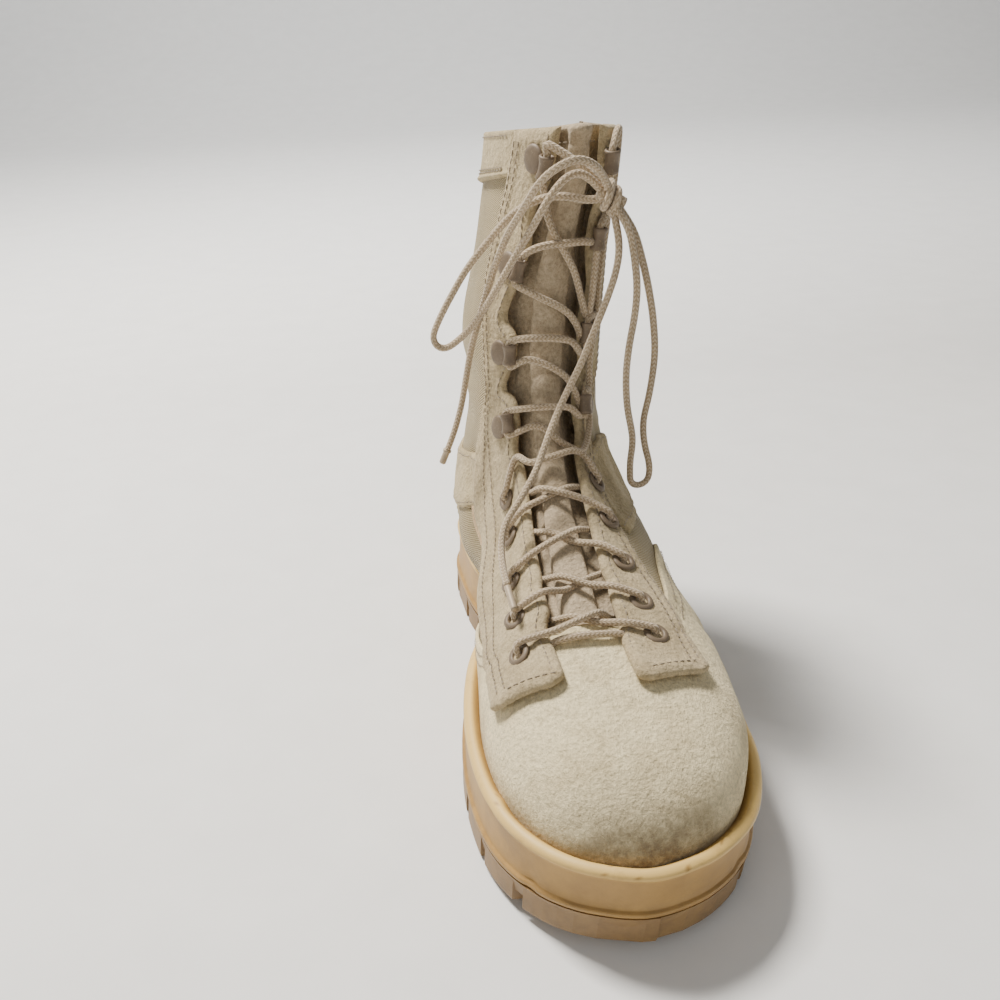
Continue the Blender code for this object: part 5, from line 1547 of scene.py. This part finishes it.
# %% Hardware
def turned_points(profile, count_=28):
    """Points and faces of a profile turned about Z."""
    points_ = []
    for radius, height in profile:
        for step in range(count_):
            angle = 2.0 * math.pi * step / count_
            points_.append((radius * math.cos(angle), radius * math.sin(angle), height))
    return points_, grid_faces(len(profile), count_, 0, wrap=True)


def metal_piece(name, points_, faces_, matrix, replaces):
    """Painted metal piece, set on its seat."""
    placed = [matrix @ Vector(point) for point in points_]
    thing = piece_from(name, placed, faces_, "metal")
    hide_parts(replaces)
    return thing


# Profiles of the turned pieces: radius, height
EYELET = [(0.0026, -0.0044), (0.0025, -0.0008), (0.0026, 0.0002), (0.0029, 0.0007), (0.0034, 0.0009),
          (0.0040, 0.00085), (0.0046, 0.0006), (0.0050, 0.0002), (0.0051, -0.0002), (0.0049, -0.0004),
          (0.0036, -0.0005), (0.0031, -0.0010), (0.0030, -0.0044)]
for name in SEATS:
    if name.startswith("eyelet"):
        points_, faces_ = turned_points(EYELET)
        metal_piece(name + "_ring", points_, faces_, seat_matrix(name), name)

DISC = [(0.0000, 0.00205), (0.0018, 0.00202), (0.0034, 0.00190), (0.0044, 0.00165), (0.0050, 0.0012),
        (0.0052, 0.0007), (0.0050, 0.0003), (0.0040, 0.0000), (0.0034, -0.0006), (0.0000, -0.0006)]
SLEEVE = [(0.0020, -0.0039), (0.0027, -0.0040), (0.0031, -0.0036), (0.0030, -0.0029), (0.0026, -0.0016), (0.0025, 0.0),
          (0.0026, 0.0016), (0.0030, 0.0029), (0.0031, 0.0036), (0.0027, 0.0040), (0.0020, 0.0039), (0.0019, 0.0030),
          (0.0019, -0.0030), (0.0020, -0.0039)]


# The saddle: forward, height and half width of each step; sideways share and rise of its section
SPINE = ((0.0000, 0.0004, 0.0036), (0.0025, 0.0005, 0.0036), (0.0048, 0.0006, 0.0028), (0.0062, 0.0010, 0.0022),
         (0.0074, 0.0018, 0.0022), (0.0084, 0.0028, 0.0026))
SADDLE = ((-1.0, 0.0), (-0.8, 0.0009), (0.0, 0.0011), (0.8, 0.0009), (1.0, 0.0), (0.0, -0.0002))


def hook_points():
    """Disc, saddle and sleeve of one hook as points and faces."""
    points_, faces_ = turned_points(DISC)
    sleeve, ring_faces = turned_points(SLEEVE, 24)
    start = len(points_)
    points_ += [(HOOK_REACH + x, z, SLEEVE_RADIUS + y) for x, y, z in sleeve]
    faces_ += [tuple(start + corner for corner in face) for face in ring_faces]
    # The saddle is a strap that leaves the disc and rises to the sleeve
    start, wide = len(points_), len(SADDLE)
    points_ += [(x, share * half, z + top) for x, z, half in SPINE for share, top in SADDLE]
    faces_ += grid_faces(len(SPINE), wide, start, wrap=True)
    faces_.append(tuple(range(start, start + wide)))
    faces_.append(tuple(range(start + wide * (len(SPINE) - 1), start + wide * len(SPINE))))
    return points_, faces_


for name in SEATS:
    if name.startswith("hook"):
        points_, faces_ = hook_points()
        metal_piece(name + "_speed", points_, faces_, seat_matrix(name), name)
print("hardware set")

# %% [markdown]
# ## Lacing
# A lace is round and keeps its thickness in every turn. A bevelled curve would do, but a tube built
# from rings carries a map along its length, which the braid needs.

# %% Tubes
def tube(name, route, radius, finish, count_=14, taper=None):
    """Round cord along a route, closed at both ends, with a map that runs along and round it."""
    rings_ = []
    normal = None
    runs = [0.0]
    for index, point in enumerate(route):
        ahead = route[min(index + 1, len(route) - 1)]
        behind = route[max(index - 1, 0)]
        run = (ahead - behind).normalized()
        if normal is None:
            normal = run.orthogonal().normalized()
        normal = (normal - run * normal.dot(run)).normalized()
        side = run.cross(normal)
        size = radius * (taper(index / (len(route) - 1)) if taper else 1.0)
        rings_.append([point + size * (normal * math.cos(2.0 * math.pi * step / count_)
                                       + side * math.sin(2.0 * math.pi * step / count_)) for step in range(count_)])
        if index:
            runs.append(runs[-1] + (point - route[index - 1]).length)
    mesh = bpy.data.meshes.new(name)
    points_ = [tuple(point) for ring in rings_ for point in ring]
    faces_ = grid_faces(len(rings_), count_, 0, wrap=True)
    last = (len(rings_) - 1) * count_
    faces_ += [tuple(range(count_))[::-1], tuple(range(last, last + count_))]
    mesh.from_pydata(points_, [], faces_)
    wrap = mesh.uv_layers.new(name="run")
    for polygon in mesh.polygons:
        corners = [mesh.loops[loop].vertex_index for loop in polygon.loop_indices]
        top = max(corner % count_ for corner in corners)
        for loop, corner in zip(polygon.loop_indices, corners):
            turn_ = corner % count_
            if top == count_ - 1 and turn_ == 0:
                turn_ = count_
            wrap.data[loop].uv = (runs[corner // count_], turn_ / count_)
    mesh.materials.append(FINISH[finish])
    mesh.shade_smooth()
    thing = bpy.data.objects.new(name, mesh)
    bpy.context.scene.collection.objects.link(thing)
    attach(thing, "root")
    return thing


print("lace diameter", 2.0 * LACE_RADIUS)

# %% [markdown]
# ### Crossings
# The lace comes up through each eyelet, crosses the tongue, goes under the far facing and, higher up,
# runs through the sleeves of the hooks. Each leg is led by given heights over the tongue, so
# that strands pass over and under without cutting into each other.

# %% Crossings
def at_skin(row, place, lift):
    """Point of the surface as a vector."""
    return Vector(skin(np.array([row]), np.array([place]), np.array([lift]))[0][0])


# Rows of the five eyelets and four hooks on each side
LEVELS = {
    -1: [6.5, 7.5, 8.5, 9.6, 10.5, 12.7, 17.4, 21.3, 25.1],
    1: [6.5, 7.4, 8.4, 9.4, 10.4, 13.3, 18.2, 22.3, 25.2],
}
EYELETS = 5
HOOKS = 4
WORDS = {-1: "inner", 1: "outer"}

# Rows at which the lace reaches the outer facing's edge, and leaves it, above the eyelets
ENTER = {4: 11.1, 5: 12.3, 6: 16.6, 7: 22.0}
LEAVE = {5: 12.75, 6: 17.0, 7: 18.6}


def through_sleeve(side, number):
    """Up through an inner hook's sleeve, or down through an outer one's."""
    seat = seat_matrix(f"hook_{WORDS[side]}_{number}")
    return [seat @ Vector((HOOK_REACH, y, SLEEVE_RADIUS)) for y in (-0.0048, 0.0, 0.0048)]


def leg(side, level, over):
    """Route from one eyelet or hook to the next one on the other side."""
    near, far = LEVELS[side][level], LEVELS[-side][level + 1]
    points_ = []
    drop = -0.0008
    if level < EYELETS:
        seat = seat_matrix(f"eyelet_{WORDS[side]}_{level + 1}")
        inward = 1.0 if side < 0 else -1.0
        points_ += [seat @ Vector((inward * 0.001, -0.0006, -0.0040)), seat @ Vector((0.0, 0.0, -0.0008)),
                    seat @ Vector((inward * 0.0010, 0.0008, 0.0020)), seat @ Vector((inward * 0.0042, 0.0020, 0.0024))]
        points_.append(at_skin(near + 0.22 * (far - near), side * 0.98, 0.0052 + (0.0022 if level < 2 else 0.0)))
    else:
        points_ += through_sleeve(side, level + 1 - EYELETS)
    if side < 0 and level + 1 >= EYELETS:
        # Straight across to the far facing, then up beside the hooks to the next one
        enter = ENTER[level]
        points_.append(at_skin(0.6 * near + 0.4 * enter, -0.45, 0.0050))
        points_.append(at_skin(0.3 * near + 0.7 * enter, 0.40, 0.0046))
        points_.append(at_skin(enter, 0.98, 0.0052))
        for share in (0.30, 0.62, 0.95):
            points_.append(at_skin(enter + share * (far + 0.9 - enter), 1.22, 0.0056))
        return points_
    if side > 0 and level >= EYELETS:
        leave = LEAVE[level]
        points_.append(at_skin(leave, 1.00, 0.0050))
        points_.append(at_skin(0.7 * leave + 0.3 * far, 0.40, 0.0034))
        points_.append(at_skin(0.35 * leave + 0.65 * (far - 0.6), -0.40, 0.0034))
        return points_
    mid = 0.5 * (near + far)
    height = 0.0040 if over else 0.0010
    if level == 0:
        height += 0.0035
    points_.append(at_skin(mid - 0.12 * (far - near), side * 0.35, height))
    points_.append(at_skin(mid + 0.12 * (far - near), -side * 0.35, height - 0.0012))
    if level + 1 < EYELETS:
        points_.append(at_skin(near + 0.78 * (far - near), -side * 0.92, drop))
        points_.append(at_skin(near + 0.92 * (far - near), -side * 1.16, drop - 0.0010))
    return points_


def strand(start, over):
    """One half of the lace, from its lowest eyelet up to the knot."""
    side = start
    points_ = []
    for level in range(EYELETS + HOOKS - 1):
        points_ += leg(side, level, over)
        side = -side
    seat = seat_matrix(f"hook_{WORDS[side]}_{HOOKS}")
    points_ += through_sleeve(side, HOOKS)
    ending = seat @ Vector((HOOK_REACH + 0.0004, 0.0078, SLEEVE_RADIUS + 0.0005))
    halfway = ending.lerp(KNOT_PLACE, 0.55) + Vector((0.0, -0.0015, 0.0020))
    points_ += [ending, halfway, KNOT_PLACE + Vector((0.0, 0.0010, 0.0))]
    return points_


over_points = strand(-1, True)
under_points = strand(1, False)
# The straight bar between the two lowest eyelets: place across, height
BAR = ((-1.15, 0.0024), (-0.9, 0.0042), (-0.35, 0.0046), (0.35, 0.0046), (0.9, 0.0042), (1.15, 0.0024))
bar = [at_skin(6.55, place, height) for place, height in BAR]
crossing_route = smooth_route(over_points[::-1] + bar + under_points, CORD_STEP)
crossings = tube("lace_crossings_braid", crossing_route, LACE_RADIUS, "lace")
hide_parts("lace_crossings")
print("crossings", round(route_length(crossing_route), 3))

# %% [markdown]
# ### Bow
# The bow is a knot of turns with two loops and two ends, and each end has a crimped tip. A real
# knot's path could be followed through itself, but most of it is hidden, so a short coil around a
# core stands for it.

# %% Bow
KNOT_TURNS = 1.9
KNOT_STEPS = 110
KNOT_COIL = 0.0036
KNOT_WIDE = 0.0062
HEART_RADIUS = 0.0024
HEART = ((-0.0050, 0.0020), (-0.002, 0.0008), (0.002, -0.0008), (0.0050, -0.0024))
knot_route = []
for step in range(KNOT_STEPS):
    share = step / (KNOT_STEPS - 1.0)
    turn_ = 0.6 + 2.0 * math.pi * KNOT_TURNS * share
    ring = KNOT_COIL + 0.0005 * math.sin(turn_ * 0.5 + 1.0)
    tilt = Matrix.Rotation(0.45, 3, "Y") @ Matrix.Rotation(0.30 * (share - 0.5), 3, "Z")
    coil = Vector(((share - 0.5) * KNOT_WIDE, ring * math.cos(turn_), ring * 1.1 * math.sin(turn_)))
    knot_route.append(KNOT_PLACE + tilt @ coil)
knot = tube("bow_knot", knot_route, LACE_RADIUS, "lace")
core = [KNOT_PLACE + Vector((x, 0.0, z)) for x, z in HEART]
heart = tube("bow_knot_heart", smooth_route(core, 0.0010), HEART_RADIUS, "lace")
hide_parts("knot")
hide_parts("knot")

TIP_OVERLAP = 0.0030
tip_points = [Vector((x, -y, z)) for x, y, z in TIP]
for name, route in BOW.items():
    tube(name + "_braid", route, LACE_RADIUS, "lace")
    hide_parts(name)


def crimp(share):
    """Width of a crimped tip along it: flared over the lace, drawn in at its end."""
    if share < 0.2:
        return 1.24
    return 1.0 if share < 0.95 else 0.8


def end_tip(name, route, reach):
    """Crimped tip over the last of a lace end, running on a little."""
    last = route[-1]
    run = (route[-1] - route[-4]).normalized()
    line = [last - run * TIP_OVERLAP + run * step * (reach + TIP_OVERLAP) / 14.0 for step in range(15)]
    return tube(name, line, TIP_RADIUS * 1.12, "tip", taper=crimp)


line = smooth_route([tip_points[0], tip_points[0].lerp(tip_points[1], 0.5), tip_points[1]], 0.0006)
tip_right = tube("aglet_long", line, TIP_RADIUS, "tip")
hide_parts("aglet")
tip_left = end_tip("aglet_short", BOW["lace_end_left"], 0.0040)
for name, far_end, pieces in (("loop_left", "object", ()), ("loop_right", "object", ()),
                              ("lace_end_left", "knot", (tip_left,)), ("lace_end_right", "knot", (tip_right,))):
    route = BOW[name]
    round(route_length(route), 4)

# %% [markdown]
# ## Stitching
# The panels are held by rows of thick thread, many of them double. Painted dashes would look flat from
# the side, so each stitch is a short rounded thread, all of them in one mesh to stay light.

# %% Stitch runs
stitch_points = []
stitch_faces = []


STITCH_PITCH = 0.0030
STITCH_SIZE = 0.0021
THREAD_RADIUS = 0.00030
# Swelling along one stitch, and its open section: sideways, up
STITCH_SWELL = ((0.0, 0.35), (0.2, 0.9), (0.5, 1.0), (0.8, 0.9), (1.0, 0.35))
STITCH_SECTION = ((-1.0, -0.4), (-0.7, 0.6), (0.0, 0.95), (0.7, 0.6), (1.0, -0.4))


def stitch_run(line, normals):
    """Short rounded stitches along a line on the surface."""
    line = np.array(line)
    normals = np.array(normals)
    runs = np.concatenate(([0.0], np.cumsum(np.linalg.norm(np.diff(line, axis=0), axis=1))))

    def at(along, table):
        """A table of vectors read at a distance along the line."""
        return np.array([np.interp(along, runs, table[:, axis]) for axis in range(3)])

    for start in np.arange(0.5 * STITCH_PITCH, runs[-1] - STITCH_SIZE, STITCH_PITCH):
        ends = [at(start, line), at(start + STITCH_SIZE, line)]
        normal = at(start + 0.5 * STITCH_SIZE, normals)
        normal /= max(1e-9, np.linalg.norm(normal))
        run = ends[1] - ends[0]
        run /= max(1e-9, np.linalg.norm(run))
        side = np.cross(run, normal)
        first = len(stitch_points)
        for share, swell in STITCH_SWELL:
            middle = ends[0] + (ends[1] - ends[0]) * share
            for out, up_ in STITCH_SECTION:
                stitch_points.append(middle + swell * THREAD_RADIUS * (side * out + normal * up_))
        stitch_faces.extend(grid_faces(len(STITCH_SWELL), len(STITCH_SECTION), first))


def seam(rows_line, places_line, lift):
    """Stitches along rows and places of the surface."""
    spots, normals = skin(np.asarray(rows_line, float), np.asarray(places_line, float), lift)
    stitch_run(spots, normals)


many = np.linspace(0.0, 1.0, 400)
for side in (-1, 1):
    rows_line = TAB_END[side] + 0.30 + (25.5 - TAB_END[side]) * many
    outer_edge = facing_outer_edge(side)
    outer = np.array([outer_edge(row) for row in rows_line])
    rise_line = facing_lift(rows_line, GAP + FACING) + 0.00050
    for inset in (0.13, 0.26):
        seam(slanted(side, rows_line, outer - inset), side * (outer - inset), rise_line)
    edge = facing_edge(side)
    inner = np.array([edge(row) for row in rows_line])
    seam(slanted(side, rows_line, inner + 0.13), side * (inner + 0.13), rise_line + 0.0001)
    bottom = np.linspace(1.12, 1.86, 90)
    seam(slanted(side, np.full(90, TAB_END[side] + 0.27), bottom), side * bottom, GAP + FACING + PANEL + 0.0031)
    vamp_line = 2.05 + 0.9 * many
    for drop in (0.16, 0.34):
        vamp_rows = [vamp_edge(side * (place - 0.25 * drop)) - drop for place in vamp_line]
        seam(vamp_rows, side * vamp_line, GAP + PANEL + 0.0003)
    collar = np.linspace(2.05, 3.0, 300)
    for row in (24.80, 24.90, 25.84):
        seam(np.full(300, row), side * collar, GAP + PANEL + 0.0004)
    seam(19.6 + 4.8 * many, np.full(400, side * 2.88), GAP + PANEL + 0.0002)
seam(np.full(120, 25.5), np.linspace(-1.15, 1.15, 120), -0.0018)
# Two rows along the counter's top edge, found by rays toward the heel's upright axis
for drop in (0.0022, 0.0046):
    spots, normals = [], []
    for angle in np.linspace(-120.0, 120.0, 300):
        turn_ = math.radians(angle)
        height = float(between(COUNTER_TOP, angle)) - drop
        away = Vector((HEEL_OUT * math.sin(turn_), HEEL_OUT * math.cos(turn_), height))
        hit = wrap_tree.ray_cast(away, (Vector((0.0, 0.0, height)) - away).normalized())[0]
        if hit is not None:
            out = (away - hit).normalized()
            spots.append(hit + out * (GAP + PANEL + 0.0002))
            normals.append(out)
    stitch_run(spots, normals)
# One row inside each long edge of the ankle stays, found by rays from the side
for side in (-1, 1):
    for line, inward in zip(STAYS[side], (-0.0024, 0.0024)):
        spots, normals = [], []
        for ahead, height in eased(line, 160):
            away = Vector((side * SIDE_OUT, HEEL_REST - ahead, height + inward))
            hit, normal = wrap_tree.ray_cast(away, (Vector((SIDE_AIM, away.y, away.z)) - away).normalized())[:2]
            if hit is not None:
                normal = normal if normal.x * side > 0 else -normal
                spots.append(hit + normal * (GAP + PANEL + 0.0002))
                normals.append(normal)
        stitch_run(spots, normals)
stitches = piece_from("seam_stitches", stitch_points, stitch_faces, "thread")
stitches.data.uv_layers.new(name="run")
print("stitch faces", len(stitch_faces))

# %% [markdown]
# ## Studio
# The boot stands on pale paper that sweeps up behind it. A soft key from behind left shapes the
# folds as the sun does in the photograph, with a gentle fill, and one lamp for the backdrop alone.

# %% Floor and light
FLOOR_HALF = 6.0
SWEEP_START = 2.0
SWEEP_RADIUS = 1.5
floor_mesh = bpy.data.meshes.new("studio_floor")
sweep = [(-4.0, 0.0)]
sweep += [(SWEEP_START + SWEEP_RADIUS * math.sin(turn_), SWEEP_RADIUS - SWEEP_RADIUS * math.cos(turn_))
          for turn_ in np.linspace(0.0, 1.45, 24)]
sweep.append((4.2, 6.0))
floor_mesh.from_pydata([(x, y, z) for y, z in sweep for x in (-FLOOR_HALF, FLOOR_HALF)], [],
                       grid_faces(len(sweep), 2))
floor_mesh.shade_smooth()
floor = bpy.data.objects.new("studio_floor", floor_mesh)
bpy.context.scene.collection.objects.link(floor)
material, tree, shader = new_finish("floor_paper")
space = place_of(tree)[0]
paper = steps(tree, noise(tree, space, 30.0, 4.0, 0.6), ((0.3, (0.84, 0.835, 0.82)), (0.7, (0.88, 0.875, 0.86))))
tree.links.new(paper, shader.inputs["Base Color"])
shader.inputs["Roughness"].default_value = 0.8
floor_mesh.materials.append(material)


def softbox(name, spot, aim, power, size, tint):
    """Square soft light aimed at a point."""
    light = bpy.data.lights.new(name, "AREA")
    light.energy = power
    light.size = size
    light.color = tint
    lamp = bpy.data.objects.new(name, light)
    bpy.context.scene.collection.objects.link(lamp)
    lamp.location = spot
    lamp.rotation_euler = (Vector(aim) - Vector(spot)).to_track_quat("-Z", "Y").to_euler()
    return lamp


softbox("key_light", (-0.55, 0.42, 1.30), (0.0, -0.08, 0.08), 46.0, 0.32, (1.0, 0.955, 0.885))
softbox("fill_light", (0.9, -1.1, 0.9), (0.0, -0.08, 0.08), 2.5, 1.2, (1.0, 0.99, 0.97))
softbox("front_light", (-0.9, -1.0, 0.8), (0.0, -0.1, 0.06), 3.0, 0.8, (1.0, 0.98, 0.94))
softbox("backdrop_light", (0.0, 0.7, 1.7), (0.0, 3.2, 1.2), 70.0, 1.6, (1.0, 1.0, 0.99))
world = bpy.data.worlds.new("studio_world")
world.use_nodes = True
world.node_tree.nodes["Background"].inputs["Color"].default_value = (1.0, 0.99, 0.97, 1.0)
world.node_tree.nodes["Background"].inputs["Strength"].default_value = 0.22
bpy.context.scene.world = world
print("studio ready")
